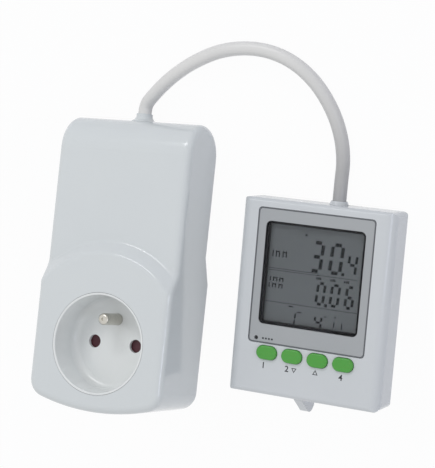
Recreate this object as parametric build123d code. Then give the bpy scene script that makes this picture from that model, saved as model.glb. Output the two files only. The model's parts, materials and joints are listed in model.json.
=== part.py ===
"""Smart energy monitor: a plug-in socket adapter and a small display unit, joined by a cord.

Both units lie on their backs on a table. The adapter leans on its plug pins and on its top end,
and the display leans on its opened kickstand and on its top end. Lengths are in millimetres.

Each unit is drawn in a frame of its own: X to its right, Y towards its top end, Z out of its front,
with the front plane at Z = 0. A depth is a distance behind that plane, so a depth of 5 is Z = -5.
"""

from build123d import *
import math
import os

os.makedirs("parts", exist_ok=True)

# Fits that both units use
seat_gap = 0.1
slide_gap = 0.15
swing_gap = 0.3
bore_gap = 0.05
cut_overrun = 6.0
far_reach = 200.0

# Socket of the French and Belgian pattern, with an earth pin
socket_radius = 19.7
socket_floor_radius = 19.2
socket_depth = 15.0
socket_floor_round = 3.2
socket_wall = 1.6
socket_rim_width = 0.85
socket_rim_round = 0.4
socket_flange_width = 2.2
pin_pitch = 19.0
pin_hole_radius = 2.7
earth_offset = 10.0
earth_pin_radius = 2.4
earth_pin_tip_depth = 2.4
earth_pin_dimple_radius = 0.6
earth_pin_collar_radius = 3.6
earth_pin_collar = 1.2

# Adapter housing; heights are measured from the axis of the socket
adapter_side_border = 9.75
adapter_width = 2 * (socket_radius + socket_rim_width + adapter_side_border)
adapter_top = 92.2
adapter_bottom_border = 7.25
adapter_bottom = socket_radius + socket_rim_width + adapter_bottom_border
adapter_bottom_bow = 5.2
adapter_bottom_side = adapter_bottom - adapter_bottom_bow
adapter_bottom_corner = 7.5
adapter_wall = 2.0
adapter_edge_round = 3.0
adapter_rear_height = 4.0

# The arched step in the front, round the socket, and the ramp in the back
step_depth = 4.5
step_reach = 6.4
step_run = 4.8
step_crest_radius = adapter_width / 2 + step_reach
step_foot_radius = step_crest_radius + step_run
step_round = 2.2
ramp_foot = 28.0
ramp_head = 39.0
ramp_rise = 4.5

# Shutter behind the socket floor
shutter_thickness = 1.6
shutter_hub_radius = 3.4
shutter_reach = 13.5
shutter_width = 7.2
shutter_post_radius = 1.5
shutter_swing = 44.0
spring_wire_radius = 0.25
spring_radius = 2.5

# Contacts and their carrier
carrier_radius = 20.4
carrier_ring = 2.0
carrier_thickness = 8.0
contact_bore = 2.45
contact_wall = 0.65
contact_slit = 0.8
strap_width = 5.0
strap_thickness = 0.8
strap_lap = 2.2
strap_side_x = 15.5
feed_strap_gap = 0.8
feed_strap_step = 4.8
earth_link_radius = 1.5

# Plug on the back
plug_radius = 18.6
plug_length = 15.5
plug_edge_round = 1.0
plug_flange_width = 2.4
plug_flange = 1.8
plug_groove_width = 5.4
plug_groove = 2.4
plug_pin_radius = 2.4
plug_pin_length = 19.0
plug_pin_tip_round = 1.2
plug_shank_radius = 2.0
earth_sleeve_bore = 2.5
earth_sleeve_wall = 0.5
earth_sleeve_length = 14.0
clip_width = 6.0
clip_thickness = 0.8
clip_recess = 1.5
clip_bulge = 1.0
clip_length = 12.0

# Meter board in the adapter and what is soldered to it
meter_board_side_gap = 1.2
meter_board_end_gap = 8.2
meter_board_thickness = 1.6
meter_board_low = 34.0
standoff_height = 1.8
standoff_radius = 2.5
standoff_share = 0.4
transformer_size = (22.0, 20.0, 15.0)
transformer_place_shares = (-0.14, -0.28)
transformer_core_share = 0.55
mains_capacitor_size = (7.5, 18.0, 14.0)
mains_capacitor_place_shares = (0.34, -0.26)
smoothing_radius = 4.0
smoothing_height = 12.0
smoothing_place_shares = (-0.32, 0.14)
varistor_radius = 5.0
varistor_thickness = 4.0
varistor_place_shares = (0.30, 0.06)
meter_chip_size = (6.0, 10.0, 1.8)
meter_chip_place_shares = (0.02, 0.10)
fuse_radius = 2.6
fuse_length = 9.0
fuse_place_shares = (0.30, 0.30)
shunt_size = (12.0, 3.0, 3.0)
shunt_gap = 0.4
shunt_height_share = 0.35
meter_plug_size = (10.0, 7.0, 7.6)

# Screws of the adapter, and the posts that they pull together
adapter_post_side_gap = 6.9
adapter_post_high_gap = 20.2
adapter_post_low_gap = 9.1
adapter_post_x = adapter_width / 2 - adapter_post_side_gap
adapter_post_high = adapter_top - adapter_post_high_gap
adapter_post_low = adapter_post_low_gap - adapter_bottom_side
adapter_post_radius = 3.2
adapter_screw_radius = 1.4
adapter_head_radius = 2.7
adapter_head_height = 1.7
adapter_screw_length = 12.0
adapter_screw_ledge = 2.1

# Cord and the glands that it comes out of
cord_radius = 2.8
cord_exit_depth = 20.0
gland_neck_radius = 5.2
gland_waist_radius = 4.1
gland_waist = 0.8
gland_band_radius = 3.4
gland_cone = 2.0
gland_height = 3.2
gland_flange_radius = 6.4
gland_flange = 1.4
gland_shank = 6.6
clamp_width = 15.0
clamp_length = 4.5
clamp_cap = 1.4
tail_inside = 14.0

# Silver plate, window and liquid-crystal cell; heights are measured from the centre of the plate
window_width = 42.4
window_height = 41.7
window_corner = 2.2
plate_side_border = 3.5
plate_top_border = 5.05
plate_bottom_border = 7.65
plate_width = window_width + 2 * plate_side_border
plate_height = window_height + plate_top_border + plate_bottom_border
window_rise = (plate_bottom_border - plate_top_border) / 2
plate_corner = 1.6
plate_thickness = 0.8
plate_sink = 0.1
plate_groove = 0.25
lens_sink = 0.2
lens_thickness = 1.0
aperture_border = 1.1
frame_lip = 0.75
frame_wall = 1.2
glass_thickness = 1.9
glass_side_margin = 1.5
glass_end_margin = 3.4
reflector_thickness = 0.3
reflector_room = 1.55
zebra_width = 2.2

# Display housing
display_side_border = 7.8
display_top_border = 3.6
display_bottom_border = 21.0
display_width = plate_width + 2 * display_side_border
display_top = plate_height / 2 + display_top_border
display_bottom = plate_height / 2 + display_bottom_border
display_corner = 2.6
display_wall = 2.0
display_front_wall = 2.4
display_side_round = 4.4
display_back_round = 2.0
display_end_round = 1.8
display_rear_height = 4.0

# Screws of the display and the posts that they pull together
display_post_side_gap = 5.3
display_post_high_gap = 8.8
display_post_low_gap = 7.2
display_post_x = display_width / 2 - display_post_side_gap
display_post_high = display_top - display_post_high_gap
display_post_low = display_post_low_gap - display_bottom
display_post_radius = 2.5
display_screw_radius = 1.1
display_head_radius = 2.1
display_head_height = 1.2
display_screw_length = 9.0
display_screw_ledge = 2.2

# Circuit board of the display, between the posts
display_board_low_gap = 3.7
display_board_high_gap = 4.3
display_board_width = 2 * (display_post_x - display_post_radius - swing_gap)
display_board_low = display_bottom - display_board_low_gap
display_board_height = display_board_low + display_top - display_board_high_gap
display_board_thickness = 1.0
board_post_radius = 1.8
board_post_side_gap = 3.9
board_post_low_gap = 4.0

# Keys and the reset plunger
key_count = 4
key_width = 8.8
key_height = 5.6
key_gap = 0.5
key_inset = 8.6
key_drop = 1.0
key_proud = 1.2
key_edge_round = 0.7
key_flange_width = 0.8
key_flange = 0.65
key_travel = 0.7
key_pitch = key_width + 2 * key_flange_width + key_gap
key_first_x = key_inset - plate_width / 2
key_y = -(plate_height / 2 + key_drop + key_height / 2)
switch_width = 5.0
switch_body = 2.7
switch_floor = 1.0
key_stem_radius = 1.2
key_stem = 2.0
reset_inset = 3.3
reset_rise = 1.7
reset_x = reset_inset - plate_width / 2
reset_y = reset_rise - plate_height / 2
reset_hole_radius = 0.85
reset_recess = 1.0
reset_flange_radius = 1.5
reset_travel = 0.4
reset_plunger_radius = 0.65
reset_stem = 2.2
reset_switch_width = 3.4
reset_switch_body = 2.4

# Other pieces in the display
driver_chip_size = (12.0, 12.0, 1.6)
driver_chip_place_shares = (0.24, 0.10)
cell_radius = 8.0
cell_thickness = 3.2
cell_place_shares = (0.28, -0.24)
cell_clip_width = 5.0
cell_clip_thickness = 0.6
display_plug_size = (10.0, 8.0, 5.0)
display_exit_x = 5.2
display_exit_depth = 10.0
collar_height = 1.5
collar_radius = 3.9
collar_tip_radius = 3.3
collar_shank = 3.2
collar_flange_radius = 4.9
collar_flange = 1.1
display_tail = 13.8
notch_width = 8.0

# Kickstand: a flat lever on a pin, with a thumb lobe under the bottom edge and a leg behind
stand_x = -4.5
stand_thickness = 3.5
stand_cover = 4.0
stand_pivot_rise = 4.2
stand_hub_radius = 3.4
stand_pin_radius = 1.2
stand_pin_length = 7.7
toe_ahead = 7.3
toe_drop = 1.2
toe_radius = 0.9
lobe_behind = 2.5
lobe_drop = 3.2
lobe_radius = 4.7
foot_behind = 26.0
foot_drop = 3.8
foot_radius = 2.5
pocket_wall = 1.0
pocket_cheek = 2.0

# Where the display lies on the table, from the adapter's socket axis, and how far it is turned
display_shift_x = 78.6
display_shift_y = 19.0
display_turn = -1.85

# The cord's route on the table, between its two exits
cord_lift = 0.05
cord_rest = cord_radius + cord_lift
cord_first_run = 1.85
cord_route = [
    (0.4, 80.4, 3.1),
    (1.25, 82.0, cord_rest),
    (3.6, 84.5, cord_rest),
    (8.2, 88.9, cord_rest),
    (15.2, 94.6, cord_rest),
    (25.6, 101.0, cord_rest),
    (38.8, 106.2, cord_rest),
    (54.0, 107.2, cord_rest),
    (66.9, 103.1, cord_rest),
    (76.8, 94.6, cord_rest),
    (83.3, 83.2, cord_rest),
    (86.2, 72.2, cord_rest),
    (86.5, 62.2, cord_rest),
]
corner_share = 0.45


def slab(shape, front, back, x=0.0, y=0.0):
    """A flat outline, seen from the front, given a thickness between two depths."""
    return Pos(x, y, -back) * extrude(shape, back - front)


def rod(radius, front, back, x=0.0, y=0.0):
    """A round bar square to the front plane, between two depths."""
    return slab(Circle(radius), front, back, x, y)


def brick(width, height, front, back, x=0.0, y=0.0):
    """A rectangular block between two depths, centred on x and y."""
    return slab(Rectangle(width, height), front, back, x, y)


def bar(radius, low, high, depth, x=0.0):
    """A round bar along Y, from one height to another, at one depth."""
    return Pos(x, low, -depth) * Rot(-90, 0, 0) * extrude(Circle(radius), high - low)


def pin_across(radius, length, x, y, depth):
    """A round pin along X, centred on a point."""
    return Pos(x, y, -depth) * Rot(0, 90, 0) * Cylinder(radius, length)


def turned(points, x=0.0, y=0.0):
    """A turned piece about an axis square to the front, from its (radius, depth) points."""
    outline = make_face(Polyline([(radius, -depth) for radius, depth in points], close=True))
    return Pos(x, y, 0) * revolve(Plane.XZ * outline, Axis.Z)


def turned_on_y(points, depth, x=0.0):
    """A turned piece about an axis along Y, from its (radius, height) points."""
    outline = make_face(Polyline(points, close=True))
    return Pos(x, 0, -depth) * revolve(outline, Axis.Y)


def side_view(points):
    """An outline in the side view, from its (height, depth) points."""
    return Plane.YZ * make_face(Polyline([(height, -depth) for height, depth in points], close=True))


def mirrored(x):
    """The two places of a piece that stands left and right."""
    return (-x, x)


def group(pieces):
    """Several separate solids of one node."""
    return Compound(children=[solid for piece in pieces for solid in piece.solids()])


# Depths that follow from the sizes above
socket_rim_radius = socket_radius + socket_rim_width
socket_body_radius = socket_radius + socket_wall
socket_back = socket_depth + socket_wall
shutter_front = socket_back + swing_gap
shutter_back = shutter_front + shutter_thickness
carrier_floor = shutter_back + 2 * swing_gap + 2 * spring_wire_radius
carrier_back = carrier_floor + carrier_thickness
meter_board_back = carrier_back + seat_gap
meter_board_depth = meter_board_back - meter_board_thickness
meter_board_width = 2 * (adapter_post_x - adapter_post_radius - meter_board_side_gap)
meter_board_height = adapter_top - meter_board_end_gap - meter_board_low
meter_board_middle = meter_board_low + meter_board_height / 2
adapter_upper_back = meter_board_back + standoff_height + adapter_wall
adapter_lower_back = adapter_upper_back + ramp_rise
adapter_split = adapter_upper_back - adapter_rear_height
step_slope = step_run / step_depth
upper_middle = (step_depth + adapter_upper_back) / 2
top_end_radius = (adapter_upper_back - step_depth) / 2
top_end_centre = adapter_top - top_end_radius
plug_flange_front = adapter_lower_back - adapter_wall - plug_flange
plug_face = adapter_lower_back + plug_length
plug_pin_tip = plug_face + plug_pin_length
feed_strap_depth = plug_flange_front - feed_strap_gap - strap_thickness
feed_strap_bend = meter_board_low - feed_strap_step
screw_seat_adapter = adapter_split + adapter_screw_ledge
gland_tip = adapter_top + gland_height
glass_front = display_front_wall + seat_gap + frame_lip
glass_back = glass_front + glass_thickness
glass_width = window_width - 2 * aperture_border + 2 * glass_side_margin
glass_height = window_height - 2 * aperture_border + 2 * glass_end_margin
display_board_depth = glass_back + reflector_thickness + reflector_room
display_board_back = display_board_depth + display_board_thickness
display_board_middle = display_board_height / 2 - display_board_low
board_post_x = display_board_width / 2 - board_post_side_gap
board_post_y = board_post_low_gap - display_board_low
pocket_depth = display_board_back + swing_gap + pocket_wall
stand_pivot_depth = pocket_depth + swing_gap + stand_hub_radius
stand_pivot_y = stand_pivot_rise - display_bottom
display_thickness = stand_pivot_depth + stand_cover
display_split = display_thickness - display_rear_height
toe_depth = display_thickness - toe_ahead
toe_y = -display_bottom - toe_drop
lobe_depth = display_thickness + lobe_behind
lobe_y = -display_bottom - lobe_drop
foot_depth = display_thickness + foot_behind
foot_y = -display_bottom - foot_drop
screw_seat_display = display_split + display_screw_ledge
collar_tip = display_top + collar_height
stand_reach = math.hypot(foot_depth - stand_pivot_depth, foot_y - stand_pivot_y)
stand_swing = 90 + math.degrees(math.atan2(stand_pivot_y - foot_y, foot_depth - stand_pivot_depth))


def lean_angle(edge, prop):
    """How far a unit tips when it lies on a rounded edge and a rounded prop.

    Each is (height, depth, radius) in the unit's side view, and the angle is in degrees.
    """
    rise = edge[0] - prop[0]
    fall = edge[1] - prop[1]
    rounding = prop[2] - edge[2]
    return math.degrees(math.atan2(rise, fall) - math.acos(rounding / math.hypot(rise, fall)))


def height_over_table(edge, angle):
    """Height of a unit's origin over the table when it lies on a rounded edge."""
    turn = math.radians(angle)
    return edge[0] * math.sin(turn) + edge[1] * math.cos(turn) + edge[2]


adapter_edge = (top_end_centre, upper_middle, top_end_radius)
adapter_prop = (plug_pin_radius - plug_pin_tip_round, plug_pin_tip - plug_pin_tip_round, plug_pin_tip_round)
display_edge = (display_top - display_back_round, display_thickness - display_back_round, display_back_round)
display_prop = (foot_y, foot_depth, foot_radius)
adapter_lean = lean_angle(adapter_edge, adapter_prop)
display_lean = lean_angle(display_edge, display_prop)
adapter_place = Pos(0, 0, height_over_table(adapter_edge, adapter_lean)) * Rot(-adapter_lean, 0, 0)
display_spot = Pos(display_shift_x, display_shift_y, height_over_table(display_edge, display_lean))
display_place = display_spot * Rot(0, 0, display_turn) * Rot(-display_lean, 0, 0)


def adapter_outline(inset):
    """Front view of the adapter, drawn in by a wall."""
    half = adapter_width / 2 - inset
    side = inset - adapter_bottom_side
    bottom = ThreePointArc((-half, side), (0, inset - adapter_bottom), (half, side))
    rest = Polyline((half, side), (half, far_reach), (-half, far_reach), (-half, side))
    outline = make_face(bottom + rest)
    corners = outline.vertices().sort_by(Axis.Y)[:2]
    return fillet(corners, adapter_bottom_corner - inset)


def adapter_form(inset):
    """The adapter's solid form with sharp edges, drawn in by a wall."""
    half = adapter_width / 2 - inset
    end = Pos(top_end_centre, -upper_middle) * Circle(top_end_radius - inset)
    body = Pos((top_end_centre - far_reach) / 2, -upper_middle) * Rectangle(
        top_end_centre + far_reach, 2 * (top_end_radius - inset)
    )
    upper = extrude(Plane.YZ * (end + body), half, both=True)
    back = adapter_lower_back - inset
    ramp = side_view(
        [
            (-far_reach, upper_middle),
            (ramp_head - inset, upper_middle),
            (ramp_head - inset, adapter_upper_back - inset),
            (ramp_foot - inset, back),
            (-far_reach, back),
        ]
    )
    raised_back = extrude(ramp, half, both=True)
    raised_front = brick(2 * half, far_reach, inset, upper_middle, 0, -far_reach / 2)
    arch = turned(
        [
            (0, inset),
            (step_crest_radius - inset, inset),
            (step_crest_radius - inset + step_slope * (upper_middle - inset), upper_middle),
            (0, upper_middle),
        ]
    )
    arch &= brick(2 * half, far_reach, inset, upper_middle, 0, far_reach / 2)
    form = upper + raised_back + raised_front + arch
    return form & slab(adapter_outline(inset), -cut_overrun, far_reach)


def is_circle(edge, radius):
    """Whether an edge is an arc of this radius."""
    return edge.geom_type == GeomType.CIRCLE and math.isclose(edge.radius, radius, abs_tol=1e-3)


def adapter_rounded_form():
    """The adapter's solid form with its edges rounded."""
    form = adapter_form(0)
    step = [e for e in form.edges() if is_circle(e, step_crest_radius) or is_circle(e, step_foot_radius)]
    form = fillet(step, step_round)
    sides = [e for face in form.faces().filter_by(Axis.X) for e in face.edges()]
    long_edges = [e for e in sides if abs(e.tangent_at(0.5).Z) < 0.99 or e.geom_type != GeomType.LINE]
    front_bottom = [
        e for e in form.edges() if abs(e.center().Z) < seat_gap and e.center().Y < adapter_post_low
    ]
    return fillet(long_edges + front_bottom, adapter_edge_round)


def adapter_posts():
    """Where the adapter's four screws stand."""
    return [(x, y) for x in mirrored(adapter_post_x) for y in (adapter_post_low, adapter_post_high)]


def on_meter_board(shares):
    """A place on the meter board, from shares of its width and height."""
    return (shares[0] * meter_board_width, meter_board_middle + shares[1] * meter_board_height)


def on_display_board(shares):
    """A place on the display's board, from shares of its width and height."""
    return (shares[0] * display_board_width, display_board_middle + shares[1] * display_board_height)


def adapter_shells():
    """Front and rear shell of the adapter, which meet at a seam near the back."""
    form = adapter_rounded_form()
    cavity = adapter_form(adapter_wall)
    ahead = brick(far_reach, 2 * far_reach, -cut_overrun, adapter_split)
    front = (form & ahead) - cavity
    rear = (form - ahead) - cavity
    post_front = adapter_wall - seat_gap
    for x, y in adapter_posts():
        front += rod(adapter_post_radius, post_front, adapter_split, x, y) & form
        front -= rod(
            adapter_screw_radius + bore_gap,
            screw_seat_adapter - adapter_screw_length - seat_gap,
            adapter_split + seat_gap,
            x,
            y,
        )
        rear += rod(adapter_post_radius + adapter_wall / 2, adapter_split, adapter_lower_back, x, y) & form
        rear -= rod(adapter_screw_radius + slide_gap, adapter_split - seat_gap, adapter_lower_back, x, y)
        rear -= rod(adapter_head_radius + slide_gap, screw_seat_adapter, adapter_lower_back + seat_gap, x, y)
    front -= rod(socket_rim_radius + slide_gap, -cut_overrun, step_depth + adapter_wall)
    front -= bar(gland_neck_radius + bore_gap, top_end_centre, gland_tip + cut_overrun, cord_exit_depth)
    rear -= rod(plug_radius + seat_gap, adapter_split, adapter_lower_back + cut_overrun)
    for x in mirrored(standoff_share * meter_board_width):
        for y in mirrored(standoff_share * meter_board_height):
            back = adapter_upper_back - adapter_wall + seat_gap
            rear += rod(standoff_radius, meter_board_back, back, x, meter_board_middle + y)
    return front, rear


def socket_insert():
    """The round well that a plug goes into."""
    flange_front = adapter_wall + seat_gap
    flange_back = flange_front + socket_wall
    outside = turned(
        [
            (0, 0),
            (socket_rim_radius, 0),
            (socket_rim_radius, flange_front),
            (socket_rim_radius + socket_flange_width, flange_front),
            (socket_rim_radius + socket_flange_width, flange_back),
            (socket_body_radius, flange_back),
            (socket_body_radius, socket_back),
            (0, socket_back),
        ]
    )
    well = turned(
        [
            (0, -cut_overrun),
            (socket_radius, -cut_overrun),
            (socket_radius, 0),
            (socket_floor_radius, socket_depth),
            (0, socket_depth),
        ]
    )
    floor_edge = [e for e in well.edges() if is_circle(e, socket_floor_radius)]
    well = fillet(floor_edge, socket_floor_round)
    insert = outside - well
    mouth = [e for e in insert.edges() if is_circle(e, socket_radius)]
    insert = fillet(mouth, socket_rim_round)
    for x in mirrored(pin_pitch / 2):
        insert -= rod(pin_hole_radius, socket_depth - cut_overrun, socket_back + cut_overrun, x)
    return insert - rod(
        earth_pin_radius + bore_gap, socket_depth - cut_overrun, socket_back + cut_overrun, 0, earth_offset
    )


def earth_pin():
    """The socket's earth pin, with its collar behind the carrier."""
    back = carrier_back + earth_pin_collar
    pin = rod(earth_pin_radius, earth_pin_tip_depth, back, 0, earth_offset)
    tip = pin.edges().sort_by(Axis.Z)[-1]
    pin = fillet(tip, earth_pin_radius / 2)
    pin -= rod(
        earth_pin_dimple_radius, 0, earth_pin_tip_depth + earth_pin_dimple_radius, 0, earth_offset
    )
    return pin + rod(earth_pin_collar_radius, carrier_back, back, 0, earth_offset)


def socket_shutter():
    """Two wings on a hub that close both pin holes from behind."""
    wing = SlotOverall(2 * shutter_reach, shutter_width)
    shape = wing + Circle(shutter_hub_radius)
    return slab(shape, shutter_front, shutter_back) - rod(
        shutter_post_radius + bore_gap, shutter_front - cut_overrun, shutter_back + cut_overrun
    )


def shutter_spring():
    """Return spring: one open turn of wire between the shutter and the carrier."""
    depth = shutter_back + swing_gap + spring_wire_radius
    turn = Torus(spring_radius, spring_wire_radius)
    leg = Pos(spring_radius, -spring_radius, 0) * Rot(90, 0, 0) * Cylinder(spring_wire_radius, 2 * spring_radius)
    return Pos(0, 0, -depth) * (turn + leg)


def contact_carrier():
    """Moulded carrier that holds the contacts behind the socket and carries the shutter's post."""
    carrier = rod(carrier_radius, socket_back, carrier_back)
    carrier -= rod(carrier_radius - carrier_ring, socket_back - seat_gap, carrier_floor)
    carrier += rod(shutter_post_radius, shutter_front, carrier_floor + seat_gap)
    for x in mirrored(pin_pitch / 2):
        carrier -= rod(contact_bore + contact_wall + seat_gap, carrier_floor - seat_gap, far_reach, x)
    return carrier - rod(earth_pin_radius + bore_gap, carrier_floor - seat_gap, far_reach, 0, earth_offset)


def contact(side):
    """A split sleeve that grips a plug's pin, with the strap that leads to the board."""
    x = side * pin_pitch / 2
    strap_x = side * strap_side_x
    outer = contact_bore + contact_wall
    strap_back = meter_board_back + strap_thickness
    sleeve = rod(outer, carrier_floor + seat_gap, strap_back, x) - rod(contact_bore, 0, meter_board_back, x)
    sleeve -= brick(contact_slit, outer + seat_gap, 0, carrier_back - contact_wall, x, -outer / 2)
    top = meter_board_low + strap_lap
    low = -strap_width / 2
    rise = brick(strap_width, top - low, meter_board_back, strap_back, strap_x, (top + low) / 2)
    reach = abs(strap_x - x)
    foot = brick(reach, strap_width, meter_board_back, strap_back, (x + strap_x) / 2)
    return sleeve + rise + foot


def plug_body():
    """The plug's round boss, with side grooves and seats for the earth clips."""
    body = rod(plug_radius, plug_flange_front, plug_face)
    body = fillet(body.edges().sort_by(Axis.Z)[0], plug_edge_round)
    flange_back = adapter_lower_back - adapter_wall - seat_gap
    body += rod(plug_radius + plug_flange_width, plug_flange_front, flange_back)
    for x in mirrored(plug_radius):
        body -= brick(2 * plug_groove, plug_groove_width, adapter_lower_back + seat_gap, far_reach, x)
    for y in mirrored(plug_radius):
        body -= brick(
            clip_width + 2 * slide_gap, 2 * clip_recess, adapter_lower_back + seat_gap, far_reach, 0, y
        )
    for x in mirrored(pin_pitch / 2):
        body -= rod(plug_shank_radius + bore_gap, 0, far_reach, x)
    sleeve_front = plug_face - earth_sleeve_length
    body -= rod(earth_link_radius + bore_gap, 0, far_reach, 0, earth_offset)
    return body - rod(
        earth_sleeve_bore + earth_sleeve_wall + bore_gap, sleeve_front, far_reach, 0, earth_offset
    )


def plug_pin(x):
    """A plug pin: its shoulder sits on the plug's face, and its shank runs through the plug."""
    pin = rod(plug_pin_radius, plug_face, plug_pin_tip, x)
    pin = fillet(pin.edges().sort_by(Axis.Z)[0], plug_pin_tip_round)
    return pin + rod(plug_shank_radius, feed_strap_depth, plug_face, x)


def feed_strap(x):
    """Strap round the root of a plug pin that feeds the board."""
    top = meter_board_low + strap_lap
    root_back = feed_strap_depth + strap_thickness
    lap_back = meter_board_back + strap_thickness
    strap = side_view(
        [
            (-strap_width / 2, feed_strap_depth),
            (feed_strap_bend, feed_strap_depth),
            (feed_strap_bend, meter_board_back),
            (top, meter_board_back),
            (top, lap_back),
            (feed_strap_bend + strap_thickness, lap_back),
            (feed_strap_bend + strap_thickness, root_back),
            (-strap_width / 2, root_back),
        ]
    )
    strap = Pos(x, 0, 0) * extrude(strap, strap_width / 2, both=True)
    return strap - rod(plug_shank_radius + bore_gap, 0, far_reach, x)


def earth_link():
    """Bar that joins the socket's earth pin to the plug's receptacle."""
    front = carrier_back + earth_pin_collar
    return rod(earth_link_radius, front, plug_face - earth_sleeve_length + bore_gap, 0, earth_offset)


def earth_sleeve():
    """Receptacle in the plug for the earth pin of a wall socket."""
    outer = earth_sleeve_bore + earth_sleeve_wall
    front = plug_face - earth_sleeve_length + bore_gap
    sleeve = rod(outer, front, plug_face, 0, earth_offset)
    return sleeve - rod(earth_sleeve_bore, front + earth_sleeve_wall, far_reach, 0, earth_offset)


def earth_clips():
    """Two sprung strips on the sides of the plug."""
    clips = []
    seat = plug_radius - clip_recess
    middle = adapter_lower_back + plug_length / 2
    for side in (-1, 1):
        inner = side * seat
        outer = side * (seat + clip_thickness)
        crown = side * (seat + clip_thickness + clip_bulge)
        half = clip_length / 2
        outline = side_view(
            [
                (inner, middle - half),
                (outer, middle - half),
                (crown, middle),
                (outer, middle + half),
                (inner, middle + half),
                (crown - side * clip_thickness, middle),
            ]
        )
        clips.append(extrude(outline, clip_width / 2, both=True))
    return group(clips)


def meter_board():
    """Circuit board of the meter, on four standoffs of the rear shell."""
    return brick(
        meter_board_width, meter_board_height, meter_board_depth, meter_board_back, 0, meter_board_middle
    )


def on_board_block(size, shares):
    """A square-cornered component on the front of the meter board."""
    x, y = on_meter_board(shares)
    return brick(size[0], size[1], meter_board_depth - size[2], meter_board_depth, x, y)


def shunt():
    """Shunt beside the cord's connector."""
    x = meter_plug_size[0] / 2 + shunt_gap + shunt_size[0] / 2
    return on_board_block(shunt_size, (-x / meter_board_width, shunt_height_share))


def transformer():
    """Small mains transformer: a coil former inside its core."""
    width, height, depth = transformer_size
    x, y = on_meter_board(transformer_place_shares)
    front = meter_board_depth - depth
    core = brick(width, height * transformer_core_share, front, meter_board_depth, x, y)
    coil = brick(width * transformer_core_share, height, front + adapter_wall, meter_board_depth, x, y)
    return core + coil


def meter_cans():
    """Smoothing capacitor and fuse, two round cans on the meter board."""
    x, y = on_meter_board(smoothing_place_shares)
    can = rod(smoothing_radius, meter_board_depth - smoothing_height, meter_board_depth, x, y)
    u, v = on_meter_board(fuse_place_shares)
    fuse = pin_across(fuse_radius, fuse_length, u, v, meter_board_depth - fuse_radius - seat_gap)
    return can, fuse


def varistor():
    """Surge disc that stands on the meter board."""
    x, y = on_meter_board(varistor_place_shares)
    disc = Pos(x, y, -(meter_board_depth - varistor_radius)) * Rot(90, 0, 0) * Cylinder(
        varistor_radius, varistor_thickness
    )
    return disc


def adapter_screws():
    """The four screws that close the adapter."""
    screws = []
    for x, y in adapter_posts():
        head = rod(adapter_head_radius, screw_seat_adapter, screw_seat_adapter + adapter_head_height, x, y)
        shank = rod(adapter_screw_radius, screw_seat_adapter - adapter_screw_length, screw_seat_adapter, x, y)
        screws.append(head + shank)
    return group(screws)


def adapter_gland():
    """Tapered gland in the top end, which grips the cord."""
    low = gland_tip - gland_height - gland_shank
    bore = cord_radius + bore_gap
    return turned_on_y(
        [
            (bore, low),
            (gland_flange_radius, low),
            (gland_flange_radius, low + gland_flange),
            (gland_neck_radius, low + gland_flange),
            (gland_neck_radius, adapter_top + bore_gap),
            (gland_waist_radius, adapter_top + gland_waist),
            (gland_band_radius, adapter_top + gland_cone),
            (gland_band_radius, gland_tip),
            (bore, gland_tip),
        ],
        cord_exit_depth,
    )


def meter_tail():
    """The cord's end inside the adapter, through the gland and the clamp to the connector."""
    low = gland_tip - gland_height - tail_inside
    return bar(cord_radius, low, gland_tip, cord_exit_depth)


def meter_clamp():
    """Bridge on the meter board that holds the cord's end."""
    low = gland_tip - gland_height - tail_inside
    y = low + clamp_length / 2 + seat_gap
    front = cord_exit_depth - cord_radius - clamp_cap
    bridge = brick(clamp_width, clamp_length, front, meter_board_depth, 0, y)
    return bridge - bar(cord_radius + bore_gap, low - cut_overrun, gland_tip, cord_exit_depth)


def meter_plug():
    """Connector on the meter board for the cord."""
    width, height, depth = meter_plug_size
    high = gland_tip - gland_height - tail_inside - seat_gap
    return brick(width, height, meter_board_depth - depth, meter_board_depth, 0, high - height / 2)


def display_outline(inset):
    """Front view of the display, drawn in by a wall."""
    height = display_top + display_bottom
    outline = Rectangle(display_width - 2 * inset, height - 2 * inset)
    outline = fillet(outline.vertices(), max(display_corner - inset, seat_gap))
    return Pos(0, display_top - height / 2) * outline


def display_rounded_form():
    """The display's solid form: broadly rounded long sides and smaller end rounds."""
    across = Pos(0, -display_thickness / 2) * Rectangle(display_width, display_thickness)
    across = fillet(across.vertices().sort_by(Axis.Y)[2:], display_side_round)
    across = fillet(across.vertices().sort_by(Axis.Y)[:2], display_back_round)
    along = make_face(
        Polyline(
            (-display_bottom, 0),
            (display_top, 0),
            (display_top, -display_thickness),
            (-display_bottom, -display_thickness),
            close=True,
        )
    )
    along = fillet(along.vertices().sort_by(Axis.Y)[2:], display_end_round)
    along = fillet(along.vertices().sort_by(Axis.Y)[:2], display_back_round)
    form = slab(display_outline(0), 0, display_thickness)
    form &= extrude(Plane.XZ * across, far_reach, both=True)
    return form & extrude(Plane.YZ * along, far_reach, both=True)


def display_posts():
    """Where the display's four screws stand."""
    return [(x, y) for x in mirrored(display_post_x) for y in (display_post_low, display_post_high)]


def window_shape(margin):
    """The window's rounded rectangle, widened by a margin on each side."""
    width = window_width + 2 * margin
    shape = Rectangle(width, window_height + 2 * margin)
    shape = fillet(shape.vertices(), window_corner + min(margin, 0))
    return Pos(0, window_rise) * shape


def plate_shape(margin):
    """The silver plate's rounded rectangle, widened by a margin on each side."""
    shape = Rectangle(plate_width + 2 * margin, plate_height + 2 * margin)
    return fillet(shape.vertices(), plate_corner)


def key_shape(margin):
    """Outline of a key: a rectangle with round ends."""
    return SlotOverall(key_width + 2 * margin, key_height + 2 * margin)


def key_places():
    """Where the keys stand, from left to right."""
    return [(key_first_x + number * key_pitch, key_y) for number in range(key_count)]


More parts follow.
